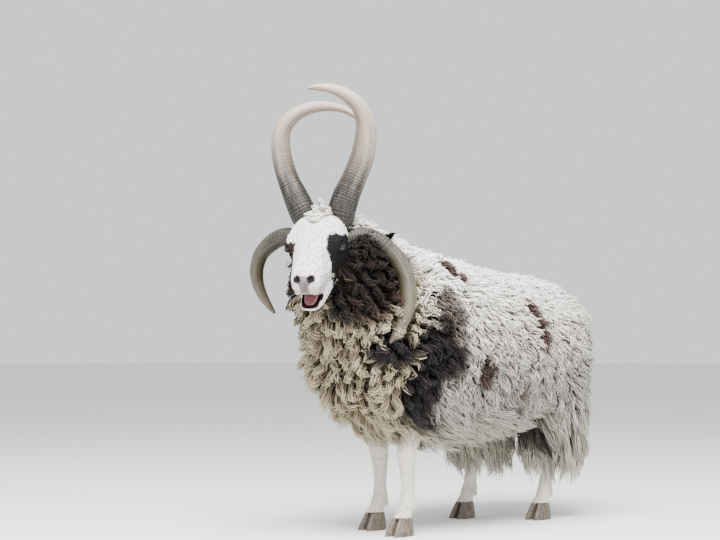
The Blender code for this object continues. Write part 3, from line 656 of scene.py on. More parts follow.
def bodyMarks(found):
    # colours for points in the ram's frame
    x, y, z = found.T
    edge = wander(found, 16, 1) * 0.34 + wander(found, 50, 2) * 0.26
    layers = [
        # painted light from above: the back painted whiter and the flanks below it greyer
        ("back", smoothstep(0.52, 0.68, z + edge * 0.06)),
        ("grey", smoothstep(0.56, 0.40, z + edge * 0.08) * 0.75),
        ("grey", smoothstep(0.28, 0.44, y + edge * 0.06) * 0.60),
        ("cream", smoothstep(-0.20, -0.30, y + edge * 0.05) * (1 - smoothstep(0.66, 0.74, z)) * 0.95),
        ("cream", smoothstep(0.36, 0.24, z + edge * 0.03) * 0.45),
        ("cream", smoothstep(0.36, 0.46, y) * 0.15),
    ]
    for side, middle, half, lean, name, strength in bodyPatches:
        c, s = math.cos(math.radians(lean)), math.sin(math.radians(lean))
        dy, dz = y - middle[0], z - middle[1]
        away = np.sqrt(((dy * c + dz * s) / half[0]) ** 2 + ((dz * c - dy * s) / half[1]) ** 2)
        onSide = smoothstep(0.015, 0.045, x * side)
        layers.append((name, smoothstep(1.12, 0.86, away + edge) * strength * onSide))
    # dark sides of the neck inside the lower horns' curves
    middle, half = neckPatch["middle"], neckPatch["half"]
    away = np.sqrt(((y - middle[0]) / half[0]) ** 2 + ((z - middle[1]) / half[1]) ** 2)
    onSides = smoothstep(0.040, 0.066, np.abs(x - neckPatch["x"]))
    layers.append(("rust", smoothstep(1.12, 0.82, away + edge * 0.8) * onSides))
    layers.append(("faceBlack", smoothstep(0.80, 0.50, away + edge * 0.9) * onSides * 0.7))
    layers.append(("leg", smoothstep(0.25, 0.21, z) * (np.abs(y) < 0.6)))
    return layered("white", len(found), layers)


def headMarks(found):
    # colours for points on the head, given in the ram's frame
    local = moved(found, headBack)
    x, y, z = local.T
    along, beside = -y, np.abs(x)
    drop = math.radians(headSizes["drop"])
    rough = wander(found, 90, 3) * 0.0035 + wander(found, 260, 4) * 0.0018
    blaze = np.interp(along, (0.03, 0.07, 0.10, 0.13, 0.15, 0.175),
                      (0.052, 0.044, 0.040, 0.037, 0.039, 0.062))
    level = z * math.cos(drop) - along * math.sin(drop) + rough * 1.5
    leftEnd = smoothstep(0.176, 0.168, along + rough * 2 - np.clip(-z - 0.03, 0, 0.05) * 0.25)
    leftDark = smoothstep(-0.0015, 0.0015, x - blaze + rough) * (smoothstep(-0.034, -0.038, level) * leftEnd)
    rightEnd = smoothstep(0.192, 0.182, along + rough * 2) * smoothstep(-0.054, -0.059, level)
    rightDark = smoothstep(-0.0015, 0.0015, -x - blaze - 0.002 + rough) * rightEnd
    specks = np.clip((wander(found, 300, 5) - 0.24) * 7, 0, 1) * smoothstep(0.07, 0.12, along) * 0.85
    pad = smoothstep(0.240, 0.246, along + rough) * smoothstep(-0.050, -0.040, z + rough)
    pad = pad * smoothstep(0.0140, 0.0095, beside + rough - np.clip(z + 0.03, 0, 0.02) * 0.35) * 0.9
    nostril = np.sqrt(((beside - 0.0172) / 0.011) ** 2 + ((along - 0.245) / 0.012) ** 2
                      + ((z + 0.012) / 0.010) ** 2)
    lip = smoothstep(0.150, 0.175, along) * smoothstep(-0.0520, -0.0560, z + rough - (along - 0.2) * 0.4)
    lip = lip * smoothstep(-0.078, -0.072, z) * 0.4
    low = moved(local, jawBack)
    # painted shade: the inside of the open mouth, between the lips, is painted near black
    mouth = (z < np.interp(along, (0.18, 0.20, 0.25), (-0.070, -0.062, -0.047))) & (along > 0.175)
    mouth &= low[:, 2] > np.interp(-low[:, 1], (0.17, 0.185, 0.20, 0.245), (-0.055, -0.062, -0.068, -0.063))
    mouth &= beside < np.interp(along, (0.17, 0.20, 0.25), (0.031, 0.0270, 0.0165))
    return layered("face", len(found), (
        ("faceBlack", leftDark), ("faceBrown", rightDark), ("faceBrown", specks), ("pad", pad),
        ("nostril", smoothstep(1.25, 0.70, nostril + rough * 40)), ("pad", lip), ("mouth", mouth * 1.0),
    ))


# Coat: tufts are copies of one small tapered shape, bent along their own lines

coatSizes = {"trianglesPerPiece": 198000, "patch": 0.003}
trunkNodes = ("torso", "neck", "breech_left", "breech_right", "tail")
earNodes = ("ear_left", "ear_right")
legNodes = ("leg_front_left", "leg_front_right", "leg_hind_left", "leg_hind_right")


def tuftShape(bands):
    # a three-sided spike, as high as it has bands
    bm = bmesh.new()
    made = bmesh.ops.create_circle(bm, segments=3, radius=1)
    bmesh.ops.contextual_create(bm, geom=made["verts"])
    loop = list(bm.edges)
    for _ in range(bands):
        made = bmesh.ops.extrude_edge_only(bm, edges=loop)["geom"]
        raised = [item for item in made if isinstance(item, bmesh.types.BMVert)]
        bmesh.ops.translate(bm, verts=raised, vec=upZ)
        loop = [item for item in made if isinstance(item, bmesh.types.BMEdge)]
    bmesh.ops.pointmerge(bm, verts=raised, merge_co=(0, 0, bands))
    bmesh.ops.recalc_face_normals(bm, faces=bm.faces)
    bm.verts.index_update()
    shape = np.array([tuple(vert.co) for vert in bm.verts])
    corners = np.array([vert.index for face in bm.faces for vert in face.verts])
    counts = np.array([len(face.verts) for face in bm.faces])
    bm.free()
    return shape, corners, counts


def rootPlaces(found):
    # each root's place on the skin's unwrap
    mesh = skin.data
    mesh.calc_loop_triangles()
    corner = readRows(mesh.loop_triangles, "vertices", 3, int)
    loops = readRows(mesh.loop_triangles, "loops", 3, int)
    uv = readRows(mesh.uv_layers["OFBake"].data, "uv", 2)
    skinPoints = points(mesh)
    tree = BVHTree.FromPolygons(skinPoints.tolist(), corner.tolist())
    hits = [tree.find_nearest(point) for point in found]
    index = np.array([hit[2] for hit in hits])
    spot = np.array([tuple(hit[0]) for hit in hits])
    a, b, c = (skinPoints[corner[index, k]] for k in range(3))
    whole = np.cross(b - a, c - a)
    size = np.maximum(np.sum(whole**2, axis=1), 1e-16)
    shareB = np.sum(np.cross(spot - a, c - a) * whole, axis=1) / size
    shareC = np.sum(np.cross(b - a, spot - a) * whole, axis=1) / size
    share = np.stack((1 - shareB - shareC, shareB, shareC), axis=1)[..., None]
    return (uv[loops[index]] * np.clip(share, 0, 1)).sum(axis=1)


def placeTufts(name, paths, outward, radii, flat, colours, found, material, slot, nodes):
    # paths: tufts x (bands + 1) x 3, radii and colours alike; found: the tufts' roots
    roots = rootPlaces(found)
    bands = paths.shape[1] - 1
    shape, corners, counts = tuftShape(bands)
    level = np.rint(shape[:, 2]).astype(int)
    starts = np.concatenate(([0], np.cumsum(counts)[:-1]))
    patch = np.column_stack((shape[:, 0] / 2, shape[:, 2] / bands - 0.5)) * coatSizes["patch"]
    perPiece = coatSizes["trianglesPerPiece"] // int(np.sum(counts - 2))
    for number, start in enumerate(range(0, len(paths), perPiece), 1):
        part = slice(start, start + perPiece)
        path = paths[part]
        ahead = unit(np.gradient(path, axis=1))
        side = unit(np.cross(outward[part][:, None, :], ahead))
        rise = np.cross(ahead, side)
        wide = (radii[part][:, level] * shape[:, 0])[..., None]
        deep = (radii[part][:, level] * shape[:, 1] * flat)[..., None]
        verts = path[:, level] + side[:, level] * wide + rise[:, level] * deep
        total = len(path)
        steps = np.arange(total)[:, None]
        mesh = bpy.data.meshes.new(f"{name}{number}")
        mesh.vertices.add(total * len(shape))
        mesh.vertices.foreach_set("co", verts.astype(np.float32).ravel())
        mesh.loops.add(total * len(corners))
        mesh.loops.foreach_set("vertex_index", (corners + steps * len(shape)).ravel())
        mesh.polygons.add(total * len(counts))
        mesh.polygons.foreach_set("loop_start", (starts + steps * len(corners)).ravel())
        mesh.update(calc_edges=True)
        colourLayer(mesh, "coat", colours[part][:, level].reshape(-1, 3))
        uv = (roots[part][:, None, :] + patch)[:, corners]
        mesh.uv_layers.new(name="OFBake").data.foreach_set("uv", uv.astype(np.float32).ravel())
        dress(linked(mesh.name, mesh), material, slot, *nodes)


def scatter(mesh, count):
    # points spread evenly by area, with the surface's normal
    mesh.calc_loop_triangles()
    corner = readRows(mesh.loop_triangles, "vertices", 3, int)
    found, normal = points(mesh), readRows(mesh.vertices, "normal", 3)
    a, b, c = (found[corner[:, k]] for k in range(3))
    area = np.linalg.norm(np.cross(b - a, c - a), axis=1)
    picked = rng.choice(len(corner), count, p=area / area.sum())
    u, v = np.sort(rng.random((2, count)), axis=0)
    share = np.stack((u, v - u, 1 - v), axis=1)[..., None]
    return (found[corner[picked]] * share).sum(axis=1), unit((normal[corner[picked]] * share).sum(axis=1))


def treeOf(piece):
    bm = bmesh.new()
    bm.from_mesh(piece.data)
    tree = BVHTree.FromBMesh(bm)
    bm.free()
    return tree


def depthIn(form, found):
    # how far each point stands off a bare form's surface; negative inside
    away = np.empty(len(found))
    for i, point in enumerate(found):
        spot, normal, _, distance = trees[form].find_nearest(point)
        away[i] = math.copysign(distance, (Vector(point) - spot).dot(normal))
    return away


def nearestOf(centres, found):
    tree = KDTree(len(centres))
    for i, centre in enumerate(centres):
        tree.insert(centre, i)
    tree.balance()
    return np.array([tree.find(point)[1] for point in found])


def thinned(found, spacing):
    # the points that keep their own distance from the ones before them
    size = float(spacing.max())
    steps = [(dx, dy, dz) for dx in (-1, 0, 1) for dy in (-1, 0, 1) for dz in (-1, 0, 1)]
    grid = {}
    kept = []
    for i, point in enumerate(found):
        x, y, z = (int(v) for v in np.floor(point / size))
        near = (other for dx, dy, dz in steps for other in grid.get((x + dx, y + dy, z + dz), ()))
        if all(np.sum((found[other] - point) ** 2) > spacing[i] ** 2 for other in near):
            grid.setdefault((x, y, z), []).append(i)
            kept.append(i)
    return np.array(kept)


def pressed(lie, normal):
    # directions laid down onto the surface
    return unit(lie - normal * np.sum(lie * normal, axis=1, keepdims=True))


# Wool: locks gathered in staples

lockSizes = {
    "bands": 6, "radius": 0.0026, "flat": 0.75, "turns": (0.75, 1.45), "wave": 0.0026, "waves": 2.6,
    # the last entry below: a warmer tint towards a lock's root, part dirt and part painted shade
    "stray": 0.004, "sag": 0.10, "lowest": 0.03, "rearReach": 0.012, "dirtAndShade": (1.0, 0.93, 0.82),
    # shares along a lock, and its width and light there
    "taper": ((0, 0.2, 0.6, 0.85, 1), (0.75, 1.0, 0.90, 0.55, 0.0)),
    "light": ((0, 0.35, 0.7, 1), (0.0, 0.31, 0.83, 1.0)),
}
woolSizes = {
    "locks": 37000, "spare": 1.12, "flankSpacing": 0.016, "breastSpacing": 0.024, "height": 0.034,
    "curl": 0.0056, "breastCurl": 0.0044,
}
pollSizes = {
    "locks": 1100, "tries": 18, "spacing": 0.010, "height": 0.032, "curl": 0.0018, "front": 0.080,
}


def woolLie(local, normal):
    # the way the wool hangs: down and a little back, parted along the back
    x, y, z = local.T
    count = len(local)
    top = smoothstep(0.45, 0.80, normal[:, 2])[:, None]
    below = smoothstep(-0.35, -0.75, normal[:, 2])[:, None]
    breast = smoothstep(-0.24, -0.34, y)[:, None]
    outward = np.sign(x) * np.minimum(np.abs(x) * 12 + 0.15, 0.9)
    parted = np.column_stack((outward, np.full(count, 0.75), np.full(count, -0.4)))
    hang = np.tile((0.0, 0.22, -1.0), (count, 1)) * (1 - top) + parted * top
    hang = hang * (1 - below) + np.tile((0.0, 0.8, -0.2), (count, 1)) * below
    stray = np.column_stack([wander(local, 13, seed) for seed in (6, 7, 8)])
    return pressed(hang + stray * (0.75 + 0.9 * breast) * (1, 1, 0.6), normal)


def woolHeight(local, normal, offHead):
    x, y, z = local.T
    height = np.full(len(local), woolSizes["height"])
    height -= 0.009 * smoothstep(0.5, 0.8, normal[:, 2])
    height += 0.006 * smoothstep(-0.28, -0.34, y) * smoothstep(0.70, 0.60, z)
    height += 0.012 * smoothstep(0.40, 0.30, z)
    height -= 0.016 * smoothstep(0.26, 0.17, z)
    return height * (0.35 + 0.65 * smoothstep(0.004, 0.060, offHead))


def bentLocks(name, found, normal, starts, lie, tall, reach, curl, gather, shade, marks, *looks):
    # locks that follow the nearest staple: starts are the staples' places in found
    sizes = lockSizes
    owner = nearestOf(found[starts], found)
    count = len(starts)
    phase = rng.uniform(0, math.tau, count)
    winds = rng.uniform(*sizes["turns"], count) * rng.choice((-1, 1), count)
    own = rng.uniform(-1, 1, (len(found), 6))
    centre, out, lie, side = (
        rows[owner] for rows in (found[starts], normal[starts], lie, np.cross(normal[starts], lie)))
    tall, reach, curl, gather, shade, phase, winds = (
        row[owner][:, None] for row in (tall, reach, curl, gather, shade, phase, winds))
    t = np.linspace(0, 1, sizes["bands"] + 1)
    along = t[None, :] * (1 + own[:, 0] * 0.20)[:, None]
    rise = tall * (1 - (1 - t) ** 1.7)[None, :] * (1 + own[:, 1:2] * 0.16)
    run = reach * along**1.3
    swirl = phase + winds * math.tau * along + own[:, 2:3] * 1.1
    swing = curl * along**1.1 * (1 + 0.35 * own[:, 4:5])
    wave = sizes["wave"] * np.sin(math.tau * (sizes["waves"] * t[None, :] + own[:, 4:5])) * t[None, :] ** 0.5
    kept = 1 - gather * t[None, :] ** 0.8
    paths = centre[:, None, :] + (found - centre)[:, None, :] * kept[..., None]
    paths += out[:, None, :] * (rise + swing * np.cos(swirl))[..., None]
    paths += lie[:, None, :] * run[..., None]
    paths += side[:, None, :] * (swing * np.sin(swirl) + wave + own[:, 3:4] * sizes["stray"] * t)[..., None]
    paths[:, :, 2] -= sizes["sag"] * run * t
    paths[:, :, 2] = np.maximum(paths[:, :, 2], sizes["lowest"])
    rear = cadHigh[1] + sizes["rearReach"]
    paths[:, :, 1] = np.where(paths[:, :, 1] > rear, rear + (paths[:, :, 1] - rear) * 0.4, paths[:, :, 1])
    radii = sizes["radius"] * np.interp(t, *sizes["taper"])[None, :] * (1 + 0.28 * own[:, 5])[:, None]
    owned = marks(centre - rootRow) * 0.25 + marks(found - rootRow) * 0.75
    tone = 1 + 0.09 * rng.standard_normal(count)[owner] * (1 - owned.mean(axis=1)) + 0.08 * own[:, 1]
    # painted shade: each lock darkens from its tip towards its root, down to its staple's shade, and turns
    # warmer there, part dirt and part painted shade
    lit = np.interp(t, *sizes["light"])[None, :]
    lockShade = (shade * (1 - lit) + lit)[..., None]
    dirtAndShade = np.array(sizes["dirtAndShade"]) * (1 - lockShade) + lockShade
    colours = np.clip((owned * tone[:, None])[:, None, :] * lockShade * dirtAndShade, 0.004, 0.92)
    order = np.argsort(found[:, 1], kind="stable")
    paths, normal, radii, colours, found = (rows[order] for rows in (paths, normal, radii, colours, found))
    placeTufts(name, paths, normal, radii, sizes["flat"], colours, found, *looks)


def woolTufts(material):
    sizes = woolSizes
    found, normal = scatter(forms["trunk"].data, int(sizes["locks"] * sizes["spare"]))
    offHead = depthIn("head", found)
    keep = (offHead > 0.002) & (depthIn("legs", found) > -0.002)
    offHead = np.minimum(offHead, np.abs(depthIn("ears", found)) + 0.006)
    found, normal, offHead = (rows[keep][:sizes["locks"]] for rows in (found, normal, offHead))
    local = found - rootRow
    breast = smoothstep(-0.20, -0.32, local[:, 1]) * smoothstep(0.76, 0.68, local[:, 2])
    wider = sizes["breastSpacing"] - sizes["flankSpacing"]
    starts = thinned(found, sizes["flankSpacing"] + wider * breast)
    local, out, breast = local[starts], normal[starts], breast[starts]
    count = len(starts)
    stage(f"{count} staples of wool, {len(found)} locks")
    low = smoothstep(0.42, 0.28, local[:, 2])
    tall = woolHeight(local, out, offHead[starts]) * rng.uniform(0.76, 1.14, count)
    belly = low * smoothstep(0.26, 0.16, np.abs(local[:, 1]))
    reach = tall * (0.80 + 1.20 * low + 0.7 * belly - 0.10 * breast) * rng.uniform(0.8, 1.2, count)
    curl = (sizes["curl"] + sizes["breastCurl"] * breast) * rng.uniform(0.6, 1.35, count)
    gather = 0.16 + 0.52 * breast + 0.30 * low
    shade = (0.50 + 0.20 * smoothstep(0.46, 0.64, local[:, 2]) * (1 - breast)
             - 0.26 * np.maximum(breast, low * 0.8))
    bentLocks("wool", found, normal, starts, woolLie(local, out), tall, reach, curl, gather, shade,
              bodyMarks, material, "wool", trunkNodes)


def pollTuft(material):
    # the woolly tuft between the horns that runs down onto the brow
    sizes = pollSizes
    found, normal = scatter(forms["head"].data, sizes["locks"] * sizes["tries"])
    x, y, z = moved(found - rootRow, headBack).T
    wide = np.interp(-y, (0.0, 0.035, sizes["front"]), (0.028, 0.026, 0.010))
    keep = (np.abs(x) < wide * (1 + wander(found, 60, 9) * 0.30)) & (y > -sizes["front"]) & (y < 0.03)
    keep &= (z > 0) & (depthIn("trunk", found) > -0.012)
    found, normal = (rows[keep][:sizes["locks"]] for rows in (found, normal))
    starts = thinned(found, np.full(len(found), sizes["spacing"]))
    count = len(starts)
    stage(f"{len(found)} locks on the poll")
    x, y, z = moved(found[starts] - rootRow, headBack).T
    ahead = np.array(headFrame.to_3x3() @ Vector((0, -0.6, 0.3)))
    lie = pressed(np.tile(ahead, (count, 1)) + rng.normal(0, 0.45, (count, 3)), normal[starts])
    peak = 0.22 + 0.78 * np.exp(-((x / 0.014) ** 2)) * smoothstep(0.045, 0.008, -y)
    tall = sizes["height"] * peak * rng.uniform(0.75, 1.2, count)
    curl, gather, shade = (np.full(count, value) for value in (sizes["curl"], 0.35, 0.62))
    bentLocks("pollWool", found, normal, starts, lie, tall, 0.004 + tall * 0.4, curl, gather, shade,
              headMarks, material, "wool", ("head",))


# Short flat hairs on the face, legs and ears

hairSizes = {
    "faceHair": (9000, 0.00062), "legHair": (8500, 0.0008), "earHair": (2600, 0.0008),    # count and width
    # shares along a hair, and its height, width and light there
    "along": (0, 0.45, 1.0), "up": (0.0, 0.17, 0.20), "taper": (1.0, 0.9, 0.0), "light": (0.80, 0.95, 1.06),
    "sink": 0.0006, "flat": 0.45, "offEye": 0.0175, "offNostril": 0.012, "earLength": 0.011,
}


def flatFur(name, form, keep, lie, length, marks, *looks):
    sizes = hairSizes
    along, up, taper, light = (np.array(sizes[key]) for key in ("along", "up", "taper", "light"))
    count, width = sizes[name]
    found, normal = scatter(forms[form].data, count)
    kept = keep(found)
    found, normal = found[kept], normal[kept]
    count = len(found)
    local = found - rootRow
    way = lie(local)
    astray = wander(local, 40, 8) * 0.35 + rng.normal(0, 0.12, count)
    way = pressed(way + np.cross(normal, way) * astray[:, None], normal)
    reach = length(local) * rng.uniform(0.7, 1.25, count)
    paths = found[:, None, :] - normal[:, None, :] * sizes["sink"]
    paths = paths + way[:, None, :] * (reach[:, None] * along)[..., None]
    paths = paths + normal[:, None, :] * (reach[:, None] * up)[..., None]
    radii = width * taper[None, :] * rng.uniform(0.7, 1.2, count)[:, None]
    colour = marks(local) * (1 + 0.10 * rng.standard_normal(count))[:, None]
    colours = np.clip(colour[:, None, :] * light[None, :, None], 0.003, 0.92)
    placeTufts(name, paths, normal, radii, sizes["flat"], colours, found, *looks)


def faceKeep(found):
    # clear of the neck, the muzzle's end, the eyes, the nostrils and the mouth
    local = moved(found - rootRow, headBack)
    keep = (depthIn("trunk", found) > 0.001) & (local[:, 1] < -0.004) & (local[:, 1] > -0.236)
    for side in (1, -1):
        for part, clear in (("eye", "offEye"), ("nostril", "offNostril")):
            away = np.linalg.norm(local - np.array(headSizes[part]) * (side, 1, 1), axis=1)
            keep &= away > hairSizes[clear]
    return keep & (np.abs(headMarks(found - rootRow) - coatColours["mouth"]).sum(axis=1) > 0.02)


def faceLie(local):
    return np.tile(np.array(headFrame.to_3x3() @ Vector((0, 1, -0.15))), (len(local), 1))


def faceLength(local):
    return np.interp(-moved(local, headBack)[:, 1], (0, 0.06, 0.15, 0.24), (0.013, 0.010, 0.0075, 0.0045))


def earLie(local):
    # from the root of each ear to its tip
    base, tip = (np.array([hornFrame @ flip(earSizes["line"][k], side) for side in bothSides])
                 for k in (0, 2))
    ways = unit(tip - base)
    nearer = np.linalg.norm(local - tip[0], axis=1) < np.linalg.norm(local - tip[1], axis=1)
    return np.where(nearer[:, None], ways[0], ways[1])


def shortCoat():
    flatFur("faceHair", "head", faceKeep, faceLie, faceLength, headMarks,
            furFinish("faceCoat"), "face", ("head",))
    flatFur("legHair", "legs", lambda found: depthIn("trunk", found) > -0.004,
            lambda local: np.tile((0.0, 0.1, -1.0), (len(local), 1)),
            lambda local: np.interp(local[:, 2], (0.05, 0.12, 0.30), (0.010, 0.013, 0.020)), bodyMarks,
            furFinish("legCoat"), "leg_hair", legNodes)
    flatFur("earHair", "ears", lambda found: depthIn("trunk", found) > 0.004, earLie,
            lambda local: np.full(len(local), hairSizes["earLength"]),
            lambda local: np.tile(coatColours["faceBlack"], (len(local), 1)),
            furFinish("earCoat"), "dark_hair", earNodes)


# Horns: x, y, z and radius from the skull to the tip, in the horns' frame and as on the left side

lowerBase = ((0.048, 0.011, -0.050, 0.0185), (0.080, 0.026, -0.038, 0.022))
hornSizes = {
    "upper_left": (
        (0.039, 0.011, -0.005, 0.032), (0.045, 0.010, 0.023, 0.034), (0.056, 0.016, 0.060, 0.033),
        (0.075, 0.026, 0.104, 0.030), (0.092, 0.036, 0.148, 0.029), (0.102, 0.044, 0.194, 0.027),
        (0.104, 0.046, 0.240, 0.0235), (0.090, 0.040, 0.281, 0.0195), (0.060, 0.026, 0.312, 0.0155),
        (0.026, 0.008, 0.328, 0.0115), (-0.008, -0.010, 0.331, 0.007), (-0.024, -0.018, 0.329, 0.003),
    ),
    "upper_right": (
        (0.039, 0.011, -0.005, 0.032), (0.054, 0.010, 0.025, 0.0325), (0.071, 0.016, 0.060, 0.0305),
        (0.093, 0.026, 0.105, 0.026), (0.109, 0.036, 0.150, 0.0245), (0.116, 0.044, 0.195, 0.023),
        (0.110, 0.050, 0.234, 0.0205), (0.084, 0.058, 0.265, 0.0175), (0.047, 0.070, 0.283, 0.015),
        (0.006, 0.084, 0.287, 0.012), (-0.036, 0.094, 0.278, 0.009), (-0.070, 0.098, 0.256, 0.0055),
        (-0.084, 0.099, 0.240, 0.0025),
    ),
    "lower_left": lowerBase + (
        (0.122, 0.044, -0.048, 0.0218), (0.162, 0.052, -0.085, 0.0215), (0.185, 0.052, -0.119, 0.022),
        (0.198, 0.046, -0.156, 0.0215), (0.202, 0.036, -0.197, 0.0205), (0.195, 0.022, -0.239, 0.0172),
        (0.179, 0.006, -0.275, 0.012), (0.163, -0.007, -0.300, 0.0038),
    ),
    "lower_right": lowerBase + (
        (0.117, 0.038, -0.038, 0.0222), (0.148, 0.048, -0.052, 0.0215), (0.180, 0.062, -0.079, 0.0197),
        (0.196, 0.070, -0.114, 0.0183), (0.197, 0.072, -0.150, 0.0165), (0.185, 0.070, -0.184, 0.0133),
        (0.166, 0.064, -0.212, 0.009), (0.149, 0.058, -0.231, 0.0035),
    ),
}
ringSizes = {
    "rings": 210, "sides": 30, "pitch": 0.0062, "relief": 0.034, "rough": 0.018, "flute": 0.014,
    "oval": 0.035, "fade": (0.20, 0.48),
}


def hornPiece(name, seed, material):
    sizes = ringSizes
    side = name.split("_")[1]
    path = smoothRows(hornSizes[name], sizes["rings"])
    line = [hornFrame @ flip(row[:3], side) for row in path]
    travelled = [0.0]
    for first, second in zip(line, line[1:]):
        travelled.append(travelled[-1] + (second - first).length)
    middle = sum(line, Vector()) / len(line)
    rings, growth, streaks = [], [], []
    frameUp = hornFrame.to_3x3() @ Vector((0, -1, 0.2))
    for i, (row, s) in enumerate(zip(path, travelled)):
        ahead = wayAt(line, i)
        frameUp = squared(frameUp, ahead)
        across = ahead.cross(frameUp)
        inward = (middle - line[i]).normalized()
        share = s / travelled[-1]
        beat = s / sizes["pitch"] * (1 - 0.25 * share) + 0.7 * noise.noise(Vector((s * 45, seed, 0)))
        ridge = (0.5 + 0.5 * math.cos(beat * math.tau)) ** 1.6
        fade = 1 - 0.85 * float(smoothstep(*sizes["fade"], share))
        ring = []
        for turn in turns(sizes["sides"]):
            c, d = math.cos(turn), math.sin(turn)
            rough = noise.noise(Vector((c * 1.6, d * 1.6, s * 45 + seed * 9)))
            flute = noise.noise(Vector((c * 6, d * 6, s * 9 + seed * 5)))
            swell = (1 + sizes["relief"] * fade * (ridge - 0.5) * (1 + 0.5 * rough) + sizes["rough"] * rough
                     + sizes["flute"] * flute)
            swell *= 1 + sizes["oval"] * math.cos(2 * turn + 0.6)
            outward = across * c + frameUp * d
            ring.append(line[i] + outward * (row[3] * swell))
            growth.append((share, ridge * (1 + 0.6 * rough), outward.dot(inward)))
            streaks.append((c, d, s * 4 + seed * 7))
        rings.append(ring)
    bm = bmesh.new()
    addLoft(bm, rings)
    made = meshObject("sheath_" + name, bm)
    vectorLayer(made.data, "horn", growth)
    vectorLayer(made.data, "streak", streaks)
    dress(made, material, "horn", "horn_" + name)


# Hooves: two claws each, with bulbs at the heel

hoofSizes = {
    # height, y, half width and half length
    "rows": (
        (0.0, -0.0275, 0.0122, 0.0345), (0.0015, -0.0275, 0.0128, 0.0358), (0.012, -0.0245, 0.0124, 0.0335),
        (0.026, -0.0205, 0.0114, 0.029), (0.038, -0.0175, 0.0106, 0.025), (0.0443, -0.016, 0.0098, 0.0225),
    ),
    "height": 0.0443, "cleft": 0.0016, "toesApart": 0.0016, "ripple": 0.00025, "rings": 22, "sides": 26,
    "bulb": {"x": 0.0095, "y": 0.001, "height": 0.0175, "size": (0.0108, 0.0100, 0.0145)},
}


def hoofPiece(name, foot, material):
    sizes, bulb = hoofSizes, hoofSizes["bulb"]
    bm = bmesh.new()
    for sign in (-1, 1):
        rings = []
        for height, y, halfWidth, halfLength in smoothRows(sizes["rows"], sizes["rings"]):
            toe = sizes["toesApart"] * (1 - height / sizes["height"])
            offset = (halfWidth + sizes["cleft"] / 2 + toe) * sign
            ring = []
            for turn in turns(sizes["sides"]):
                x = bent(math.sin(turn), 0.9) * halfWidth
                back = bent(math.cos(turn), 0.85) * halfLength
                toHeel = back / halfLength
                narrow = 1 - 0.28 * float(smoothstep(0.2, 1.0, -toHeel)) * (1 if x * sign > 0 else 0.35)
                ripple = sizes["ripple"] * math.sin(height * 1900) * float(smoothstep(0.4, -0.4, toHeel))
                point = Vector((x * narrow, back, 0)) * (1 + ripple / halfWidth)
                ring.append(Vector((foot[0] + offset + point.x, foot[1] + y + point.y, max(height, 0))))
            rings.append(ring)
        addLoft(bm, rings)
    for x in (-bulb["x"], bulb["x"]):
        addBall(bm, Vector((foot[0] + x, foot[1] + bulb["y"], bulb["height"])), bulb["size"], None, 16, 10)
    made = meshObject("claws_" + name, bm)
    found = points(made.data)
    found[:, 2] = np.maximum(found[:, 2], 0.0)
    setPoints(made.data, found)
    dress(made, material, "hoof", "hoof_" + name)


# Eyes and tongue

corneaSizes = {"bulge": 0.0009, "reach": (0.0085, 0.0060)}


def eyePiece(side, material):
    radius, reach = headSizes["eyeRadius"], corneaSizes["reach"]
    bm = bmesh.new()
    bmesh.ops.create_uvsphere(bm, u_segments=56, v_segments=36, radius=radius)
    places = [tuple(vert.co / radius) for vert in bm.verts]
    for vert in bm.verts:
        x, y, z = vert.co
        bulge = corneaSizes["bulge"] * math.exp(-((x / reach[0]) ** 2 + (y / reach[1]) ** 2)) * (z > 0)
        vert.co = eyeFrame(side) @ (vert.co * (1 + bulge / radius))
    made = meshObject("eyeball_" + side, bm)
    vectorLayer(made.data, "eye", places)
    dress(made, material, "eye", "eye_" + side)


def tonguePiece(material):
    bm = bmesh.new()
    addTongue(bm)
    dress(meshObject("tongueSoft", bm), material, "tongue", "tongue")


# Materials

class Finish:
    # a short way to lay out shader nodes: an underscore in a socket's name stands for a space
    def __init__(self, name, **sockets):
        self.material = bpy.data.materials.new(name)
        self.material.use_nodes = True
        self.tree = self.material.node_tree
        self.shader = self.tree.nodes["Principled BSDF"]
        self.wear(**sockets)

    def feed(self, target, value):
        if isinstance(value, bpy.types.NodeSocket):
            self.tree.links.new(value, target)
        else:
            target.default_value = value

    def wear(self, **sockets):
        for socket, value in sockets.items():
            self.feed(self.shader.inputs[socket.replace("_", " ")], value)
        return self.material

    def node(self, kind, output, inputs, **settings):
        made = self.tree.nodes.new("ShaderNode" + kind)
        for key, value in settings.items():
            setattr(made, key, value)
        for key, value in inputs.items():
            self.feed(made.inputs[key], value)
        return made.outputs[output]

    def attribute(self, name, output="Vector"):
        return self.node("Attribute", output, {}, attribute_name=name)

    def parts(self, vector):
        return self.node("SeparateXYZ", "X", {"Vector": vector}).node.outputs

    def scaled(self, scale=(1, 1, 1), vector=None):
        # a vector, or else the object's own coordinates
        if vector is None:
            vector = self.node("TexCoord", "Object", {})
        return self.node("Mapping", "Vector", {"Vector": vector, "Scale": scale})

    def noise(self, vector, scale, detail=3, roughness=0.5):
        inputs = {"Vector": vector, "Scale": scale, "Detail": detail, "Roughness": roughness}
        return self.node("TexNoise", "Fac", inputs)

    def maths(self, operation, first, second=0.0):
        return self.node("Math", "Value", {0: first, 1: second}, operation=operation)

    def span(self, value, low, high, start=0.0, end=1.0):
        inputs = {"Value": value, "From Min": low, "From Max": high, "To Min": start, "To Max": end}
        return self.node("MapRange", "Result", inputs, interpolation_type="SMOOTHSTEP")

    def ramp(self, value, *stops):
        made = self.node("ValToRGB", "Color", {"Fac": value})
        elements = made.node.color_ramp.elements
        while len(elements) < len(stops):
            elements.new(0.5)
        for element, (at, colour) in zip(elements, stops):
            element.position = at
            element.color = (*colour, 1)
        return made

    def mix(self, colour, share, other, blend="MULTIPLY"):
        inputs = {"Factor": share, 6: colour, 7: (*other, 1)}
        return self.node("Mix", 2, inputs, data_type="RGBA", blend_type=blend)

    def bump(self, height, strength, distance, **normal):
        inputs = {"Height": height, "Strength": strength, "Distance": distance, **normal}
        return self.node("Bump", "Normal", inputs)


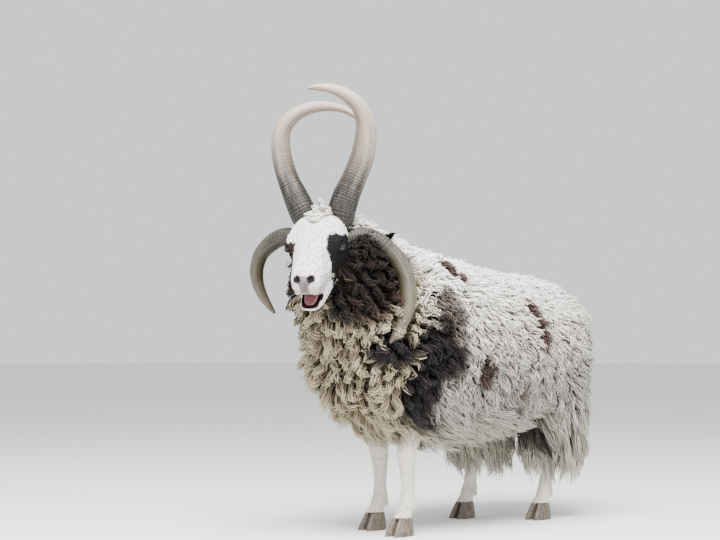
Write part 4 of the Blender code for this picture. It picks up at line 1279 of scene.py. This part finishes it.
def woolFinish():
    made = Finish("fleece", Roughness=0.96, Sheen_Weight=0.06, Sheen_Roughness=0.5, Specular_IOR_Level=0.05)
    place = made.scaled()
    fine = made.span(made.noise(place, 420, 2), 0.3, 0.7, 0.0, 0.35)
    return made.wear(Base_Color=made.mix(made.attribute("coat", "Color"), fine, (0.55, 0.50, 0.44)),
                     Normal=made.bump(made.noise(place, 900, 2), 0.35, 0.0006))


def furFinish(name):
    made = Finish(name, Roughness=0.85, Specular_IOR_Level=0.04)
    return made.wear(Base_Color=made.attribute("coat", "Color"))


def skinFinish():
    made = Finish("shortCoat", Roughness=0.85, Specular_IOR_Level=0.05)
    place, coat = made.scaled(), made.attribute("coat", "Color")
    streak = made.noise(made.scaled((1.0, 1.0, 0.28), place), 900, 2, 0.6)
    blotch = made.noise(place, 120)
    shaded = made.mix(coat, made.span(streak, 0.35, 0.65, 0.0, 0.30), (0.50, 0.45, 0.42))
    shaded = made.mix(shaded, made.span(blotch, 0.4, 0.7, 0.0, 0.16), (0.72, 0.60, 0.54))
    return made.wear(Base_Color=shaded, Normal=made.bump(streak, 0.5, 0.0007))


# colours at the base, halfway up, near the tip and in the grooves; where the base ends; inner shade
hornLooks = {
    "upper": (seen(36, 35, 34), seen(126, 116, 109), seen(172, 156, 146), seen(112, 104, 98), 0.31, 0.55),
    "lower": (seen(56, 55, 50), seen(68, 65, 56), seen(84, 79, 66), seen(110, 100, 84), 0.35, 0.9),
}


def hornFinish(name):
    base, middle, upper, groove, change, shade = hornLooks[name]
    made = Finish(name + "Horn", Roughness=0.5, Specular_IOR_Level=0.28)
    along, relief, inner = made.parts(made.attribute("horn"))
    place = made.attribute("streak")
    shift = made.maths("MULTIPLY", made.span(made.noise(place, 1.6), 0.2, 0.8, -1, 1), 0.09)
    colour = made.ramp(made.maths("ADD", along, shift), (0.0, base), (change - 0.12, base),
                       (change + 0.08, middle), (0.80, upper), (0.96, upper), (1.0, middle))
    streak = made.noise(made.scaled((1.8, 1.8, 0.6), place), 2.0, 3, 0.55)
    worn = made.maths("MULTIPLY", made.span(streak, 0.42, 0.72, 0.0, 0.40),
                      made.span(along, 0.12, 0.40, 0.25, 1.0))
    colour = made.mix(colour, worn, groove)
    grain = made.noise(made.scaled((4.0, 4.0, 3.0), place), 3.0, 3, 0.6)
    colour = made.mix(colour, made.span(grain, 0.42, 0.70, 0.0, 0.06), (0.90, 0.84, 0.74), "MIX")
    # darker in the grooves between the rings near the base: dirt and painted shade
    dirtAndShade = made.maths("MULTIPLY", made.span(relief, 0.62, 0.20), made.span(along, 0.48, 0.20, 0.10, 1.0))
    colour = made.mix(colour, made.maths("MULTIPLY", dirtAndShade, 0.72), groove)
    colour = made.mix(colour, made.span(inner, -0.1, 0.75, 0.0, shade), (0.30, 0.24, 0.15))
    return made.wear(Base_Color=colour, Roughness=made.span(streak, 0.3, 0.7, 0.42, 0.62),
                     Normal=made.bump(grain, 0.35, 0.0008, Normal=made.bump(streak, 0.4, 0.0012)))


def hoofFinish():
    made = Finish("clawHorn", Roughness=0.48, Specular_IOR_Level=0.4)
    upright = made.noise(made.scaled((1, 1, 0.12)), 330, 3, 0.6)
    rings = made.noise(made.scaled((0.15, 0.15, 1)), 520, 2)
    colour = made.ramp(upright, (0.30, (0.045, 0.036, 0.030)), (0.55, (0.12, 0.095, 0.075)),
                       (0.75, (0.30, 0.25, 0.19)))
    colour = made.mix(colour, made.span(rings, 0.45, 0.65, 0, 0.4), (0.45, 0.38, 0.32))
    return made.wear(Base_Color=colour, Normal=made.bump(rings, 0.35, 0.0006))


def eyeFinish():
    made = Finish("eyeball", Roughness=0.22, Coat_Weight=0.15, Coat_Roughness=0.05, Specular_IOR_Level=0.2)
    place = made.attribute("eye")
    across, high = (made.maths("ABSOLUTE", part) for part in list(made.parts(place))[:2])
    ring = made.maths("ADD", made.maths("POWER", across, 2.0), made.maths("POWER", high, 2.0))
    fibre = made.noise(made.scaled((1, 1, 0.05), place), 16, 3, 0.7)
    ring = made.maths("ADD", made.maths("SQRT", ring), made.maths("MULTIPLY", fibre, 0.18))
    iris = made.ramp(ring, (0.20, (0.014, 0.010, 0.008)), (0.45, (0.022, 0.016, 0.011)),
                     (0.70, (0.014, 0.010, 0.008)), (0.86, (0.010, 0.008, 0.007)))
    wide, tall = (made.maths("POWER", made.maths("DIVIDE", value, half), 4.0)
                  for value, half in ((across, 0.47), (high, 0.185)))
    pupil = made.span(made.maths("ADD", wide, tall), 1.15, 0.85)
    return made.wear(Base_Color=made.mix(iris, pupil, (0.004, 0.004, 0.006), "MIX"))


def tongueFinish():
    made = Finish("tongueFlesh", Roughness=0.34, Specular_IOR_Level=0.5, Subsurface_Weight=0.12,
                  Subsurface_Radius=(0.006, 0.002, 0.0015))
    place = made.scaled()
    colour = made.ramp(made.noise(place, 140), (0.3, (0.20, 0.070, 0.085)), (0.6, (0.28, 0.115, 0.13)),
                       (0.8, (0.33, 0.16, 0.17)))
    return made.wear(Base_Color=colour, Normal=made.bump(made.noise(place, 1100, 1), 0.35, 0.0004))


def floorFinish():
    made = Finish("floorPaint", Roughness=0.85)
    patch = made.noise(made.scaled(), 2.0, 4)
    return made.wear(Base_Color=made.ramp(patch, (0.2, (0.78, 0.78, 0.77)), (0.8, (0.81, 0.81, 0.80))))


# Camera, floor and light

viewSizes = {
    "azimuth": 42, "elevation": -2.5, "distance": 4.2, "lens": 85, "sensor": 36,
    "pollPixel": (323, 222), "frame": (720, 540),
}
studioSizes = {
    "floor": 40, "world": (0.92, 0.93, 0.95, 1), "worldLight": 1.20,
    # where it hangs and looks, size, power and colour
    "overhead": ((1.2, -1.6, 3.6), (0, 0, 0.5), 2.6, 690, (1.0, 0.98, 0.95)),
    "side": ((3.4, -0.8, 1.6), (0, -0.1, 0.5), 1.8, 45, (1.0, 0.99, 0.97)),
}


def cameraView():
    sizes = viewSizes
    azimuth, elevation = math.radians(sizes["azimuth"]), math.radians(sizes["elevation"])
    back = Vector((math.sin(azimuth) * math.cos(elevation), -math.cos(azimuth) * math.cos(elevation),
                   math.sin(elevation)))
    right = Vector((math.cos(azimuth), math.sin(azimuth), 0))
    up = back.cross(right)
    perPixel = sizes["distance"] * sizes["sensor"] / sizes["lens"] / sizes["frame"][0]
    x = (sizes["pollPixel"][0] - sizes["frame"][0] / 2) * perPixel
    y = (sizes["frame"][1] / 2 - sizes["pollPixel"][1]) * perPixel
    data = bpy.data.cameras.new("camera")
    data.lens = sizes["lens"]
    data.sensor_width = sizes["sensor"]
    camera = linked("camera", data)
    camera.matrix_world = Matrix((right, up, back)).transposed().to_4x4()
    camera.location = Vector(headSizes["poll"]) + rootShift + back * sizes["distance"] - right * x - up * y
    bpy.context.scene.camera = camera


def areaLight(name):
    location, target, size, power, colour = studioSizes[name]
    data = bpy.data.lights.new(name, "AREA")
    data.size = size
    data.energy = power
    data.color = colour
    lamp = linked(name, data)
    lamp.location = location
    lamp.rotation_euler = (Vector(target) - Vector(location)).to_track_quat("-Z", "Y").to_euler()


def studio():
    bm = bmesh.new()
    bmesh.ops.create_circle(bm, cap_ends=True, segments=96, radius=studioSizes["floor"])
    mesh = bpy.data.meshes.new("floor")
    bm.to_mesh(mesh)
    bm.free()
    mesh.materials.append(floorFinish())
    floor = linked("floor", mesh)
    world = bpy.data.worlds.new("studio")
    world.use_nodes = True
    inputs = world.node_tree.nodes["Background"].inputs
    inputs["Color"].default_value = studioSizes["world"]
    inputs["Strength"].default_value = studioSizes["worldLight"]
    bpy.context.scene.world = world
    areaLight("overhead")
    areaLight("side")


# Skin: trunk, legs and head in one, with the lids and ears

skinSizes = {"leastShade": 0.26, "moreShade": 0.22, "near": 0.0006, "legShade": 0.85}


def joinedSkin():
    # the skin, and how many of its points come before the lids'
    made = copied(forms["trunk"], "skin")
    combine(made, [copied(forms[name], name) for name in ("legs", "head")], "UNION")
    bodyCount = len(made.data.vertices)
    bm = bmesh.new()
    for piece in (made, forms["lids"], forms["ears"]):
        bm.from_mesh(piece.data)
    bm.to_mesh(made.data)
    bm.free()
    return made, bodyCount


def unwrapSkin():
    bpy.ops.object.select_all(action="DESELECT")
    bpy.context.view_layer.objects.active = skin
    skin.select_set(True)
    skin.data.uv_layers.new(name="OFBake")
    bpy.ops.object.mode_set(mode="EDIT")
    bpy.ops.mesh.select_all(action="SELECT")
    bpy.ops.uv.smart_project(angle_limit=math.radians(66), island_margin=0.001)
    bpy.ops.object.mode_set(mode="OBJECT")


def paintSkin():
    # painted shade under the wool, deeper lower down, and the coat's own colours where the short hair grows
    sizes = skinSizes
    found = points(skin.data)
    local = found - rootRow
    shade = sizes["leastShade"] + sizes["moreShade"] * smoothstep(0.45, 0.65, local[:, 2])
    colours = bodyMarks(local) * shade[:, None]
    body, bodyLocal = colours[:bodyCount], local[:bodyCount]
    onLeg, onHead = (np.abs(depthIn(form, found[:bodyCount])) < sizes["near"] for form in ("legs", "head"))
    body[onLeg] = bodyMarks(bodyLocal[onLeg]) * sizes["legShade"]
    body[onHead] = headMarks(bodyLocal[onHead])
    colours[bodyCount:] = coatColours["faceBlack"]
    colourLayer(skin.data, "coat", np.clip(colours, 0.003, 0.95))
    dress(skin, skinFinish(), "face", *trunkNodes, "head", *earNodes, *legNodes)


# Assembly

stage("camera and floor")
cameraView()
studio()
stage("skin")
forms = bareForms()
trees = {name: treeOf(piece) for name, piece in forms.items()}
skin, bodyCount = joinedSkin()
stage("unwrap")
unwrapSkin()
stage("skin's markings")
paintSkin()
stage("eyes, tongue, horns and hooves")
eyeMaterial = eyeFinish()
for side in bothSides:
    eyePiece(side, eyeMaterial)
tonguePiece(tongueFinish())
hornMaterials = {name: hornFinish(name) for name in hornLooks}
for seed, name in enumerate(hornSizes, 1):
    hornPiece(name, seed, hornMaterials[name.split("_")[0]])
hoofMaterial = hoofFinish()
for name, foot in legSizes["feet"].items():
    hoofPiece(name, foot, hoofMaterial)
stage("wool")
fleece = woolFinish()
woolTufts(fleece)
pollTuft(fleece)
stage("short coat")
shortCoat()
for piece in forms.values():
    bpy.data.objects.remove(piece)

stage("sizes")
